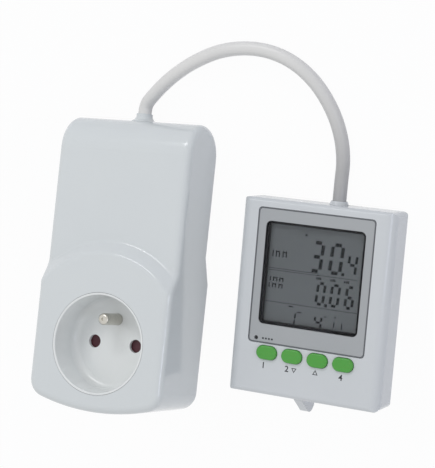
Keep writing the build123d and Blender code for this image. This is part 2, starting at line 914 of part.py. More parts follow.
def display_shells():
    """Front and rear shell of the display, with the kickstand's pocket in the rear one."""
    form = display_rounded_form()
    cavity = slab(display_outline(display_wall), display_front_wall, display_thickness - display_wall)
    ahead = brick(far_reach, 2 * far_reach, -cut_overrun, display_split)
    front = (form & ahead) - cavity
    rear = (form - ahead) - cavity
    front -= slab(plate_shape(plate_groove), -cut_overrun, plate_sink + plate_thickness)
    front -= slab(window_shape(0), -cut_overrun, display_front_wall + seat_gap)
    for x, y in key_places():
        front -= slab(key_shape(slide_gap), -cut_overrun, display_front_wall + seat_gap, x, y)
    front -= rod(reset_hole_radius, -cut_overrun, display_front_wall + seat_gap, reset_x, reset_y)
    for x, y in display_posts():
        front += rod(display_post_radius, display_front_wall - seat_gap, display_split, x, y)
        front -= rod(
            display_screw_radius + bore_gap,
            screw_seat_display - display_screw_length - seat_gap,
            display_split + seat_gap,
            x,
            y,
        )
        rear += rod(display_post_radius + seat_gap, display_split, display_thickness, x, y) & form
        rear -= rod(display_screw_radius + slide_gap, display_split - seat_gap, far_reach, x, y)
        rear -= rod(display_head_radius + slide_gap, screw_seat_display, far_reach, x, y)
    for x in mirrored(board_post_x):
        front += rod(board_post_radius, display_front_wall - seat_gap, display_board_depth, x, board_post_y)
    exit_low = display_top - display_wall - seat_gap
    exit_hole = bar(collar_radius + bore_gap, exit_low, far_reach, display_exit_depth, display_exit_x)
    front -= exit_hole
    rear -= exit_hole
    slot = stand_thickness + 2 * swing_gap
    pocket_top = stand_pivot_y + stand_reach + foot_radius + swing_gap
    pocket_low = seat_gap + display_wall - display_bottom
    middle = (pocket_top + pocket_wall + pocket_low) / 2
    rear += brick(
        slot + 2 * pocket_cheek,
        pocket_top + pocket_wall - pocket_low,
        pocket_depth - pocket_wall,
        display_thickness - display_wall + seat_gap,
        stand_x,
        middle,
    )
    room = brick(slot, pocket_top + far_reach, pocket_depth, far_reach, stand_x, (pocket_top - far_reach) / 2)
    front -= room
    rear -= room
    rear -= pin_across(
        stand_pin_radius + bore_gap, stand_pin_length + 2 * bore_gap, stand_x, stand_pivot_y, stand_pivot_depth
    )
    return front, rear


def silver_plate():
    """Silver plate round the window."""
    plate = slab(plate_shape(0), plate_sink, plate_sink + plate_thickness)
    plate -= slab(window_shape(0), 0, far_reach)
    return plate - rod(reset_hole_radius, 0, far_reach, reset_x, reset_y)


def window_lens():
    """Clear window, glued on the dark frame."""
    return slab(window_shape(-seat_gap), lens_sink, lens_sink + lens_thickness)


def lcd_frame():
    """Dark frame that shows as a border through the window and holds the cell against the board."""
    lens_back = lens_sink + lens_thickness
    frame_front = display_front_wall + seat_gap
    outer = Rectangle(glass_width + 2 * (seat_gap + frame_wall), glass_height + 2 * (seat_gap + frame_wall))
    room = Rectangle(glass_width + 2 * seat_gap, glass_height + 2 * seat_gap)
    frame = slab(window_shape(-seat_gap), lens_back, frame_front + seat_gap)
    frame += slab(outer, frame_front, display_board_depth - seat_gap, 0, window_rise)
    frame -= slab(room, glass_front, far_reach, 0, window_rise)
    return frame - slab(window_shape(-aperture_border), 0, far_reach)


def lcd_glass():
    """Liquid-crystal cell."""
    return slab(Rectangle(glass_width, glass_height), glass_front, glass_back, 0, window_rise)


def lcd_reflector():
    """Reflective sheet behind the cell."""
    shape = Rectangle(glass_width, window_height)
    return slab(shape, glass_back, glass_back + reflector_thickness, 0, window_rise)


def zebra_strips():
    """Two rubber strips that join the cell's contacts to the board."""
    offset = (glass_height - zebra_width) / 2
    shape = Rectangle(window_width, zebra_width)
    return group(
        [slab(shape, glass_back, display_board_depth, 0, window_rise + y) for y in mirrored(offset)]
    )


def display_board():
    """Circuit board of the display, notched for the cord."""
    board = brick(
        display_board_width,
        display_board_height,
        display_board_depth,
        display_board_back,
        0,
        display_board_middle,
    )
    notch_low = display_top - display_tail - seat_gap
    return board - brick(
        notch_width, far_reach, 0, far_reach, display_exit_x, notch_low + far_reach / 2
    )


def key(x, y):
    """A key with its flange and the stem that works its switch."""
    cap = slab(key_shape(0), -key_proud, display_front_wall + seat_gap, x, y)
    rim = cap.faces().sort_by(Axis.Z)[-1].edges()
    cap = fillet(rim, key_edge_round)
    flange_front = display_front_wall + seat_gap
    flange_back = flange_front + key_flange
    flange = slab(key_shape(key_flange_width), flange_front, flange_back, x, y)
    return cap + flange + rod(key_stem_radius, flange_back, flange_back + key_stem, x, y)


def key_switches():
    """The four switches that the keys work."""
    front = display_board_depth - switch_body
    switches = []
    for x, y in key_places():
        body = brick(switch_width, switch_width, front, display_board_depth, x, y)
        well = rod(key_stem_radius + swing_gap, 0, display_board_depth - switch_floor, x, y)
        switches.append(body - well)
    return group(switches)


def reset_plunger():
    """Small plunger deep in its hole, pressed with a pointed tool."""
    flange_front = display_front_wall + seat_gap
    flange_back = flange_front + key_flange
    plunger = rod(reset_plunger_radius, reset_recess, flange_back + reset_stem, reset_x, reset_y)
    return plunger + rod(reset_flange_radius, flange_front, flange_back, reset_x, reset_y)


def reset_switch():
    """Switch behind the reset plunger."""
    body = brick(
        reset_switch_width,
        reset_switch_width,
        display_board_depth - reset_switch_body,
        display_board_depth,
        reset_x,
        reset_y,
    )
    well = rod(
        reset_plunger_radius + swing_gap, 0, display_board_depth - switch_floor / 2, reset_x, reset_y
    )
    return body - well


def driver_chip():
    """Driver chip on the back of the display's board."""
    x, y = on_display_board(driver_chip_place_shares)
    width, height, depth = driver_chip_size
    return brick(width, height, display_board_back, display_board_back + depth, x, y)


def backup_cell():
    """Coin cell that keeps the readings, and the clip over it."""
    x, y = on_display_board(cell_place_shares)
    front = display_board_back + cell_clip_thickness
    back = front + cell_thickness
    cell = rod(cell_radius, front, back, x, y)
    leg = cell_radius + cell_clip_thickness / 2 + seat_gap
    clip = brick(2 * leg, cell_clip_width, back, back + cell_clip_thickness, x, y)
    for side in mirrored(leg):
        clip += brick(
            cell_clip_thickness, cell_clip_width, display_board_back, back + cell_clip_thickness, x + side, y
        )
    return cell, clip


def display_plug():
    """Connector on the display's board for the cord."""
    width, height, depth = display_plug_size
    high = display_top - display_tail - seat_gap
    return brick(
        width, height, display_board_back, display_board_back + depth, display_exit_x, high - height / 2
    )


def display_tail_piece():
    """The cord's end inside the display."""
    return bar(cord_radius, display_top - display_tail, collar_tip, display_exit_depth, display_exit_x)


def display_collar():
    """Short collar round the cord in the display's top end."""
    inner = display_top - collar_shank
    bore = cord_radius + bore_gap
    return turned_on_y(
        [
            (bore, inner),
            (collar_flange_radius, inner),
            (collar_flange_radius, inner + collar_flange),
            (collar_radius, inner + collar_flange),
            (collar_radius, display_top + bore_gap),
            (collar_tip_radius, collar_tip),
            (bore, collar_tip),
        ],
        display_exit_depth,
        display_exit_x,
    )


def display_screws():
    """The four screws that close the display."""
    screws = []
    for x, y in display_posts():
        head = rod(display_head_radius, screw_seat_display, screw_seat_display + display_head_height, x, y)
        shank = rod(display_screw_radius, screw_seat_display - display_screw_length, screw_seat_display, x, y)
        screws.append(head + shank)
    return group(screws)


def lever_between(first, second):
    """Flat bar between two rounded ends, each given as (height, depth, radius) in the side view."""
    span = Vector(second[0] - first[0], first[1] - second[1])
    turn = math.atan2(span.Y, span.X)
    open_angle = math.acos((first[2] - second[2]) / span.length)
    corners = []
    for centre, way in ((first, 1), (second, 1), (second, -1), (first, -1)):
        angle = turn + way * open_angle
        corners.append((centre[0] + centre[2] * math.cos(angle), -centre[1] + centre[2] * math.sin(angle)))
    shape = make_face(Polyline(corners, close=True))
    for height, depth, radius in (first, second):
        shape += Pos(height, -depth) * Circle(radius)
    return extrude(Plane.YZ * shape, stand_thickness / 2, both=True)


def kickstand():
    """Kickstand: hub, thumb lobe under the bottom edge and the leg that props the display."""
    hub = (stand_pivot_y, stand_pivot_depth, stand_hub_radius)
    toe = (toe_y, toe_depth, toe_radius)
    lobe = (lobe_y, lobe_depth, lobe_radius)
    foot = (foot_y, foot_depth, foot_radius)
    lever = lever_between(hub, foot) + lever_between(hub, lobe) + lever_between(toe, lobe)
    bore = pin_across(stand_pin_radius + bore_gap, 2 * stand_thickness, 0, stand_pivot_y, stand_pivot_depth)
    return Pos(stand_x, 0, 0) * (lever - bore)


def stand_pin():
    """Pin that the kickstand turns on."""
    return pin_across(stand_pin_radius, stand_pin_length, stand_x, stand_pivot_y, stand_pivot_depth)


def exit_line(place, x, tip, depth):
    """Where the cord leaves a unit, and its direction there."""
    end = (place * Pos(x, tip, -depth)).position
    inside = (place * Pos(x, 0, -depth)).position
    return end, (end - inside).normalized()


def cord_points():
    """Corner points of the cord's route, from the adapter to the display."""
    start, out = exit_line(adapter_place, 0, gland_tip, cord_exit_depth)
    end, back = exit_line(display_place, display_exit_x, collar_tip, display_exit_depth)
    landing = end + back * ((cord_rest - end.Z) / back.Z)
    return [start, start + out * cord_first_run, *(Vector(*point) for point in cord_route), landing, end]


def corner_radii(points):
    """Bend radius at each corner, as wide as the shorter neighbouring run allows."""
    radii = []
    for before, corner, after in zip(points, points[1:], points[2:]):
        run_in = corner - before
        run_out = after - corner
        half_turn = math.radians(run_in.get_angle(run_out) / 2)
        radii.append(corner_share * min(run_in.length, run_out.length) / math.tan(half_turn))
    return radii


def cord():
    """Round cord from one unit to the other, swept along its route."""
    points = cord_points()
    path = FilletPolyline(*points, radius=corner_radii(points))
    section = Plane(origin=path @ 0, z_dir=path % 0) * Circle(cord_radius)
    return sweep(section, path=path)


def adapter_pieces():
    """Every piece of the adapter, in the adapter's own frame."""
    front, rear = adapter_shells()
    can, fuse = meter_cans()
    return {
        "adapter_front_shell": front,
        "adapter_rear_shell": rear,
        "socket_insert": socket_insert(),
        "earth_pin": earth_pin(),
        "socket_shutter": socket_shutter(),
        "shutter_spring": shutter_spring(),
        "contact_carrier": contact_carrier(),
        "contact_left": contact(-1),
        "contact_right": contact(1),
        "plug_body": plug_body(),
        "plug_pin_left": plug_pin(-pin_pitch / 2),
        "plug_pin_right": plug_pin(pin_pitch / 2),
        "feed_strap_left": feed_strap(-pin_pitch / 2),
        "feed_strap_right": feed_strap(pin_pitch / 2),
        "earth_sleeve": earth_sleeve(),
        "earth_link": earth_link(),
        "earth_clips": earth_clips(),
        "meter_board": meter_board(),
        "transformer": transformer(),
        "mains_capacitor": on_board_block(mains_capacitor_size, mains_capacitor_place_shares),
        "smoothing_capacitor": can,
        "fuse": fuse,
        "varistor": varistor(),
        "shunt": shunt(),
        "meter_chip": on_board_block(meter_chip_size, meter_chip_place_shares),
        "meter_plug": meter_plug(),
        "meter_clamp": meter_clamp(),
        "adapter_screws": adapter_screws(),
        "adapter_gland": adapter_gland(),
        "cord_tail_meter": meter_tail(),
    }


def display_pieces():
    """Every piece of the display, in the display's own frame."""
    front, rear = display_shells()
    cell, clip = backup_cell()
    pieces = {
        "display_front_shell": front,
        "display_rear_shell": rear,
        "silver_plate": silver_plate(),
        "window_lens": window_lens(),
        "lcd_frame": lcd_frame(),
        "lcd_glass": lcd_glass(),
        "lcd_reflector": lcd_reflector(),
        "zebra_strips": zebra_strips(),
        "display_board": display_board(),
        "driver_chip": driver_chip(),
        "backup_cell": cell,
        "cell_clip": clip,
        "display_plug": display_plug(),
        "key_switches": key_switches(),
        "reset_plunger": reset_plunger(),
        "reset_switch": reset_switch(),
        "display_screws": display_screws(),
        "display_collar": display_collar(),
        "cord_tail_display": display_tail_piece(),
        "kickstand": kickstand(),
        "kickstand_pin": stand_pin(),
    }
    for number, (x, y) in enumerate(key_places(), start=1):
        pieces[f"key_{number}"] = key(x, y)
    return pieces


def on_table():
    """Every solid piece where it lies on the table, under the adapter's socket axis."""
    placed = {name: adapter_place * piece for name, piece in adapter_pieces().items()}
    placed.update({name: display_place * piece for name, piece in display_pieces().items()})
    return placed


def centring(pieces):
    """Shift that puts the middle of the pieces' footprint at the origin, with the table at zero."""
    box = Compound(children=[solid for piece in pieces.values() for solid in piece.solids()]).bounding_box()
    middle = (box.min + box.max) / 2
    return Pos(-middle.X, -middle.Y, 0)


def main():
    """Build every piece, centre them and write one STEP file for each."""
    pieces = on_table()
    shift = centring(pieces)
    pieces["cord"] = cord()
    for name, piece in pieces.items():
        export_step(shift * piece, f"parts/{name}.step")


if __name__ == "__main__":
    main()
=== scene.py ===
"""Looks of a smart energy monitor: a plug-in socket adapter and a small display on one cord.

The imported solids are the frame. This script gives each solid the finish of its real material and
adds what is printed, written in liquid crystal or too fine for the solids: the readings in the
window, the marks under the keys, the screws' recesses and the smooth cord. Lengths inside a unit
are millimetres in the unit's own frame: x to its right, y towards its top end and depth behind its
front plane. A UnitFrame turns them into the scene's metres.
"""

from __future__ import annotations

import json
import logging
import math
from dataclasses import dataclass, field
from enum import Enum

import bmesh
import bpy
from mathutils import Matrix, Vector

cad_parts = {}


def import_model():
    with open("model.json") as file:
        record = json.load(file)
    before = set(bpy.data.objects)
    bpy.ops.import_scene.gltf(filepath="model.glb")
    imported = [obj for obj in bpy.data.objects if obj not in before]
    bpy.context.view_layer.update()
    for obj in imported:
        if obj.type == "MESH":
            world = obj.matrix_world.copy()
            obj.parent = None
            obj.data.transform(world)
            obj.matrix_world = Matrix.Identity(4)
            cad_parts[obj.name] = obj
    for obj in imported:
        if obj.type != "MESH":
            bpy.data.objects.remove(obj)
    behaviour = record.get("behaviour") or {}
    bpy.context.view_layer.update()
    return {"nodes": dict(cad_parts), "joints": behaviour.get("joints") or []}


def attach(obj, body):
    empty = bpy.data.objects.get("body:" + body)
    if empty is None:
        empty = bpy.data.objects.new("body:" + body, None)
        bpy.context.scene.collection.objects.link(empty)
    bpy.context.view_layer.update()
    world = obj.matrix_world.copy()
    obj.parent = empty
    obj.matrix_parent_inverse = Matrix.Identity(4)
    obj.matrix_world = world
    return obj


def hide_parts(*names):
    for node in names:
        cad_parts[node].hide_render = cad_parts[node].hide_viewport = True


LOG = logging.getLogger("energy_monitor")
MM = 0.001
# Sockets of the colour mix node, which shares its names between several data types
MIX_SHARE, MIX_FIRST, MIX_SECOND, MIX_RESULT = 0, 6, 7, 2


def linear(hex_colour: str) -> tuple[float, float, float, float]:
    """Turn an sRGB hex colour into the linear colour that shaders take.

    Args:
        hex_colour: Colour such as "#D5DADD".

    Returns:
        Linear red, green and blue, and an opacity of one.
    """
    parts = [int(hex_colour[i : i + 2], 16) / 255 for i in (1, 3, 5)]
    red, green, blue = (c / 12.92 if c <= 0.04045 else ((c + 0.055) / 1.055) ** 2.4 for c in parts)
    return red, green, blue, 1.0


def add_node(tree: bpy.types.NodeTree, kind: str, **settings: object) -> bpy.types.Node:
    """Add a node with its settings and links.

    Args:
        tree: Node tree that the node goes into.
        kind: Blender's name of the node type.
        settings: Attributes by name; "inputs" is a dictionary from socket name or number to a
            value, or to an output socket that is linked.

    Returns:
        The new node.
    """
    node = tree.nodes.new(kind)
    for name, value in settings.items():
        if name != "inputs":
            setattr(node, name, value)
    for socket, value in settings.get("inputs", {}).items():
        if isinstance(value, bpy.types.NodeSocket):
            tree.links.new(value, node.inputs[socket])
        else:
            node.inputs[socket].default_value = value
    return node


@dataclass(frozen=True)
class UnitFrame:
    """Where one unit lies: its origin in metres and its unit vectors."""

    origin: Vector
    across: Vector
    along: Vector
    out: Vector

    def matrix(self) -> Matrix:
        """Return the matrix from local millimetres (x, y, height over the front) to the scene."""
        columns = [axis * MM for axis in (self.across, self.along, self.out)]
        rotation = Matrix(columns).transposed().to_4x4()
        return Matrix.Translation(self.origin) @ rotation


def joint(frame: dict, name: str) -> dict:
    """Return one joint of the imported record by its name."""
    return next(j for j in frame["joints"] if j["name"] == name)


def adapter_frame(frame: dict, shutter_depth: float = 16.9) -> UnitFrame:
    """Work out the adapter's frame from the shutter's joint.

    Args:
        shutter_depth: Depth of the joint's place behind the front plane, in millimetres.

    Returns:
        The adapter's frame, with its origin on the socket's axis.
    """
    turn = joint(frame, "shutter_turn")
    out = Vector(turn["axis"]).normalized()
    across = Vector((1, 0, 0))
    origin = Vector(turn["pos_m"]) + out * shutter_depth * MM
    return UnitFrame(origin, across, out.cross(across), out)


def display_frame(
    frame: dict, pin_x: float = -4.5, pin_y: float = -44.0, pin_depth: float = 13.0
) -> UnitFrame:
    """Work out the display's frame from the kickstand's joint.

    Args:
        pin_x: Place of the kickstand's pin to the right of the plate's middle, in millimetres.
        pin_y: Place of the pin above the plate's middle, in millimetres.
        pin_depth: Depth of the pin, in millimetres.

    Returns:
        The display's frame, with its origin at the middle of the silver plate.
    """
    hinge = joint(frame, "kickstand_hinge")
    across = Vector(hinge["axis"]).normalized()
    out = -Vector(joint(frame, "key_1_press")["axis"]).normalized()
    along = out.cross(across)
    origin = Vector(hinge["pos_m"]) - (across * pin_x + along * pin_y - out * pin_depth) * MM
    return UnitFrame(origin, across, along, out)


def mesh_of(drawn: bmesh.types.BMesh, name: str) -> bpy.types.Mesh:
    """Turn a drawn bmesh into a mesh and free it."""
    mesh = bpy.data.meshes.new(name)
    drawn.to_mesh(mesh)
    drawn.free()
    return mesh


def finished_object(name: str, mesh: bpy.types.Mesh, place: Matrix) -> bpy.types.Object:
    """Put a mesh into the scene with its place in its vertices.

    Args:
        name: Name of the piece.
        mesh: Mesh in local millimetres.
        place: Matrix from local millimetres to the scene.

    Returns:
        The new object, at the origin, unturned and unscaled.
    """
    mesh.transform(place)
    mesh.name = name
    mesh.shade_flat()
    piece = bpy.data.objects.new(name, mesh)
    bpy.context.scene.collection.objects.link(piece)
    return piece


def evaluated_mesh(piece: bpy.types.Object) -> bpy.types.Mesh:
    """Return a new mesh of an object with its modifiers or its letters worked out."""
    bpy.context.view_layer.update()
    scene_graph = bpy.context.evaluated_depsgraph_get()
    return bpy.data.meshes.new_from_object(piece.evaluated_get(scene_graph))


def dressed(piece: bpy.types.Object, material: bpy.types.Material) -> bpy.types.Object:
    """Give every material slot of a piece one material."""
    if not piece.data.materials:
        piece.data.materials.append(material)
    for slot in piece.material_slots:
        slot.material = material
    return piece


def flat_block(
    drawn: bmesh.types.BMesh, centre: tuple[float, float], size: tuple[float, float]
) -> list[bmesh.types.BMFace]:
    """Draw a flat oblong and return its face in a list."""
    verts = bmesh.ops.create_grid(drawn, x_segments=1, y_segments=1, size=0.5)["verts"]
    bmesh.ops.scale(drawn, verts=verts, vec=(*size, 1))
    bmesh.ops.translate(drawn, verts=verts, vec=(*centre, 0))
    return [verts[0].link_faces[0]]


def flat_ring(
    drawn: bmesh.types.BMesh, faces: list[bmesh.types.BMFace], width: float
) -> list[bmesh.types.BMFace]:
    """Turn a flat face into a ring of faces inside its outline.

    Args:
        drawn: Mesh that the face is in.
        faces: The face, alone in its list.
        width: Width of the ring.

    Returns:
        The faces of the ring.
    """
    ring = bmesh.ops.inset_region(
        drawn, faces=faces, thickness=width, use_boundary=True, use_even_offset=True
    )["faces"]
    bmesh.ops.delete(drawn, geom=faces, context="FACES_ONLY")
    return ring


def raised(drawn: bmesh.types.BMesh, faces: list[bmesh.types.BMFace], thickness: float) -> None:
    """Give flat faces their thickness."""
    made = bmesh.ops.extrude_face_region(drawn, geom=faces)["geom"]
    top = [v for v in made if isinstance(v, bmesh.types.BMVert)]
    bmesh.ops.translate(drawn, verts=top, vec=(0, 0, thickness))
    sides = {f for v in top for f in v.link_faces} | set(faces)
    bmesh.ops.recalc_face_normals(drawn, faces=list(sides))


@dataclass(frozen=True)
class Finish:
    """A surface finish: what every material of this object starts from."""

    name: str
    colour: str
    roughness: float
    ior: float = 1.5

    def material(self) -> bpy.types.Material:
        """Build the finish as a node material.

        Returns:
            The material, with its shader's own sockets set and its patterns linked.
        """
        material = bpy.data.materials.new(self.name)
        material.use_nodes = True
        tree = material.node_tree
        tree.nodes.clear()
        shader = add_node(tree, "ShaderNodeBsdfPrincipled")
        shader.inputs["Base Color"].default_value = linear(self.colour)
        shader.inputs["Roughness"].default_value = self.roughness
        shader.inputs["IOR"].default_value = self.ior
        add_node(tree, "ShaderNodeOutputMaterial", inputs={"Surface": shader.outputs[0]})
        place = add_node(tree, "ShaderNodeTexCoord").outputs["Object"]
        self.pattern(tree, shader, place)
        return material

    def pattern(
        self, tree: bpy.types.NodeTree, shader: bpy.types.Node, place: bpy.types.NodeSocket
    ) -> None:
        """Add the finish's own pattern to the shader."""


@dataclass(frozen=True)
class MouldedPlastic(Finish):
    """Injection-moulded thermoplastic: an even colour with a faint skin texture from the mould."""

    shade: str = "#C8CCD0"
    cloud_mm: float = 28.0
    skin_mm: float = 0.9
    skin_depth_mm: float = 0.004
    coat: float = 0.0
    soft_light: float = 0.0
    soft_light_mm: float = 2.0
    haze_share: float = 0.15

    def pattern(
        self, tree: bpy.types.NodeTree, shader: bpy.types.Node, place: bpy.types.NodeSocket
    ) -> None:
        """Add slow shade drift, handling haze and the mould's skin."""
        shader.inputs["Coat Weight"].default_value = self.coat
        shader.inputs["Coat Roughness"].default_value = self.roughness / 2
        shader.inputs["Subsurface Weight"].default_value = self.soft_light
        shader.inputs["Subsurface Scale"].default_value = self.soft_light_mm * MM
        cloud = add_node(
            tree,
            "ShaderNodeTexNoise",
            inputs={"Vector": place, "Scale": 1 / (self.cloud_mm * MM), "Detail": 2.0},
        )
        drift = add_node(
            tree,
            "ShaderNodeMix",
            data_type="RGBA",
            inputs={
                MIX_SHARE: cloud.outputs["Fac"],
                MIX_FIRST: linear(self.colour),
                MIX_SECOND: linear(self.shade),
            },
        )
        tree.links.new(drift.outputs[MIX_RESULT], shader.inputs["Base Color"])
        haze = add_node(
            tree,
            "ShaderNodeMapRange",
            inputs={
                "Value": cloud.outputs["Fac"],
                "To Min": self.roughness * (1 - self.haze_share),
                "To Max": self.roughness * (1 + self.haze_share),
            },
        )
        tree.links.new(haze.outputs[0], shader.inputs["Roughness"])
        skin = add_node(
            tree,
            "ShaderNodeTexNoise",
            inputs={"Vector": place, "Scale": 1 / (self.skin_mm * MM), "Detail": 3.0},
        )
        bump = add_node(
            tree,
            "ShaderNodeBump",
            inputs={
                "Height": skin.outputs["Fac"],
                "Distance": self.skin_depth_mm * MM,
                "Strength": 0.5,
            },
        )
        tree.links.new(bump.outputs[0], shader.inputs["Normal"])


@dataclass(frozen=True)
class CordSheath(MouldedPlastic):
    """Extruded sheath, with painted shade: its colour greys towards the display's end, standing in
    for the shade there.
    """

    # Painted shade: a darker grey mixed in round the display's collar, fading out along the cord
    painted_shade_colour: str = "#9E9EA0"
    painted_shade_centre: tuple[float, float, float] = (0.0439, 0.0300, 0.0056)
    unshaded_from_mm: float = 75.0
    painted_shade_share: float = 0.4

    def pattern(
        self, tree: bpy.types.NodeTree, shader: bpy.types.Node, place: bpy.types.NodeSocket
    ) -> None:
        """Add the skin of the sheath, and the painted shade that greys it near the display's end.
        """
        super().pattern(tree, shader, place)
        skin = shader.inputs["Base Color"].links[0].from_socket
        # Painted shade: the distance from the display's collar sets how much darker grey is mixed
        # in
        away = add_node(
            tree,
            "ShaderNodeVectorMath",
            operation="DISTANCE",
            inputs={0: place, 1: self.painted_shade_centre},
        )
        unshaded = add_node(
            tree,
            "ShaderNodeMapRange",
            interpolation_type="SMOOTHERSTEP",
            inputs={
                "Value": away.outputs["Value"],
                "From Min": -self.unshaded_from_mm * MM * self.painted_shade_share,
                "From Max": self.unshaded_from_mm * MM,
            },
        )
        tone = add_node(
            tree,
            "ShaderNodeMix",
            data_type="RGBA",
            inputs={MIX_SHARE: unshaded.outputs[0], MIX_FIRST: linear(self.painted_shade_colour), MIX_SECOND: skin},
        )
        tree.links.new(tone.outputs[MIX_RESULT], shader.inputs["Base Color"])


@dataclass(frozen=True)
class TurnedMetal(Finish):
    """Plated or bare metal with the fine grain that turning or drawing leaves."""

    grain_mm: float = 0.35
    tarnish: str = "#8C8A84"
    grain_depth_mm: float = 0.004
    gloss_share: float = 0.3
    stain_mm: float = 4.0
    stain_range: tuple[float, float] = (0.45, 0.8)
    stain_most: float = 0.4

    def pattern(
        self, tree: bpy.types.NodeTree, shader: bpy.types.Node, place: bpy.types.NodeSocket
    ) -> None:
        """Add a fine grain to the gloss and a faint tarnish to the colour."""
        shader.inputs["Metallic"].default_value = 1.0
        grain = add_node(
            tree,
            "ShaderNodeTexNoise",
            inputs={"Vector": place, "Scale": 1 / (self.grain_mm * MM), "Detail": 4.0},
        )
        gloss = add_node(
            tree,
            "ShaderNodeMapRange",
            inputs={
                "Value": grain.outputs["Fac"],
                "To Min": self.roughness * (1 - self.gloss_share),
                "To Max": self.roughness * (1 + self.gloss_share),
            },
        )
        tree.links.new(gloss.outputs[0], shader.inputs["Roughness"])
        stain = add_node(
            tree,
            "ShaderNodeTexNoise",
            inputs={"Vector": place, "Scale": 1 / (self.stain_mm * MM), "Detail": 3.0},
        )
        least, most = self.stain_range
        faint = add_node(
            tree,
            "ShaderNodeMapRange",
            inputs={
                "Value": stain.outputs["Fac"],
                "From Min": least,
                "From Max": most,
                "To Max": self.stain_most,
            },
        )
        tone = add_node(
            tree,
            "ShaderNodeMix",
            data_type="RGBA",
            inputs={
                MIX_SHARE: faint.outputs[0],
                MIX_FIRST: linear(self.colour),
                MIX_SECOND: linear(self.tarnish),
            },
        )
        tree.links.new(tone.outputs[MIX_RESULT], shader.inputs["Base Color"])
        bump = add_node(
            tree,
            "ShaderNodeBump",
            inputs={
                "Height": grain.outputs["Fac"],
                "Distance": self.grain_depth_mm * MM,
                "Strength": 0.4,
            },
        )
        tree.links.new(bump.outputs[0], shader.inputs["Normal"])


@dataclass(frozen=True)
class ClearSheet(Finish):
    """Polished clear acrylic."""

    wave_mm: float = 9.0
    wave_depth_mm: float = 0.01

    def pattern(
        self, tree: bpy.types.NodeTree, shader: bpy.types.Node, place: bpy.types.NodeSocket
    ) -> None:
        """Let light through, with the faint waviness of a moulded window."""
        shader.inputs["Transmission Weight"].default_value = 1.0
        wave = add_node(
            tree,
            "ShaderNodeTexNoise",
            inputs={"Vector": place, "Scale": 1 / (self.wave_mm * MM), "Detail": 1.0},
        )
        bump = add_node(
            tree,
            "ShaderNodeBump",
            inputs={
                "Height": wave.outputs["Fac"],
                "Distance": self.wave_depth_mm * MM,
                "Strength": 0.15,
            },
        )
        tree.links.new(bump.outputs[0], shader.inputs["Normal"])


@dataclass(frozen=True)
class PolariserFilm(Finish):
    """Front polariser over a reflective liquid-crystal cell: grey, a little lighter in places."""

    pale: str = "#63686C"
    fade_mm: float = 40.0
    grain_mm: float = 0.5
    grain_share: float = 0.25
    fade_range: tuple[float, float] = (0.35, 0.9)

    def pattern(
        self, tree: bpy.types.NodeTree, shader: bpy.types.Node, place: bpy.types.NodeSocket
    ) -> None:
        """Add a slow fade and a fine reflector grain to the colour."""
        cloud = add_node(
            tree,
            "ShaderNodeTexNoise",
            inputs={"Vector": place, "Scale": 1 / (self.fade_mm * MM), "Detail": 1.0},
        )
        grain = add_node(
            tree,
            "ShaderNodeTexNoise",
            inputs={"Vector": place, "Scale": 1 / (self.grain_mm * MM), "Detail": 2.0},
        )
        both = add_node(
            tree,
            "ShaderNodeMath",
            operation="MULTIPLY_ADD",
            inputs={0: grain.outputs["Fac"], 1: self.grain_share, 2: cloud.outputs["Fac"]},
        )
        least, most = self.fade_range
        spread = add_node(
            tree,
            "ShaderNodeMapRange",
            inputs={"Value": both.outputs[0], "From Min": least, "From Max": most},
        )
        tone = add_node(
            tree,
            "ShaderNodeMix",
            data_type="RGBA",
            inputs={
                MIX_SHARE: spread.outputs[0],
                MIX_FIRST: linear(self.colour),
                MIX_SECOND: linear(self.pale),
            },
        )
        tree.links.new(tone.outputs[MIX_RESULT], shader.inputs["Base Color"])


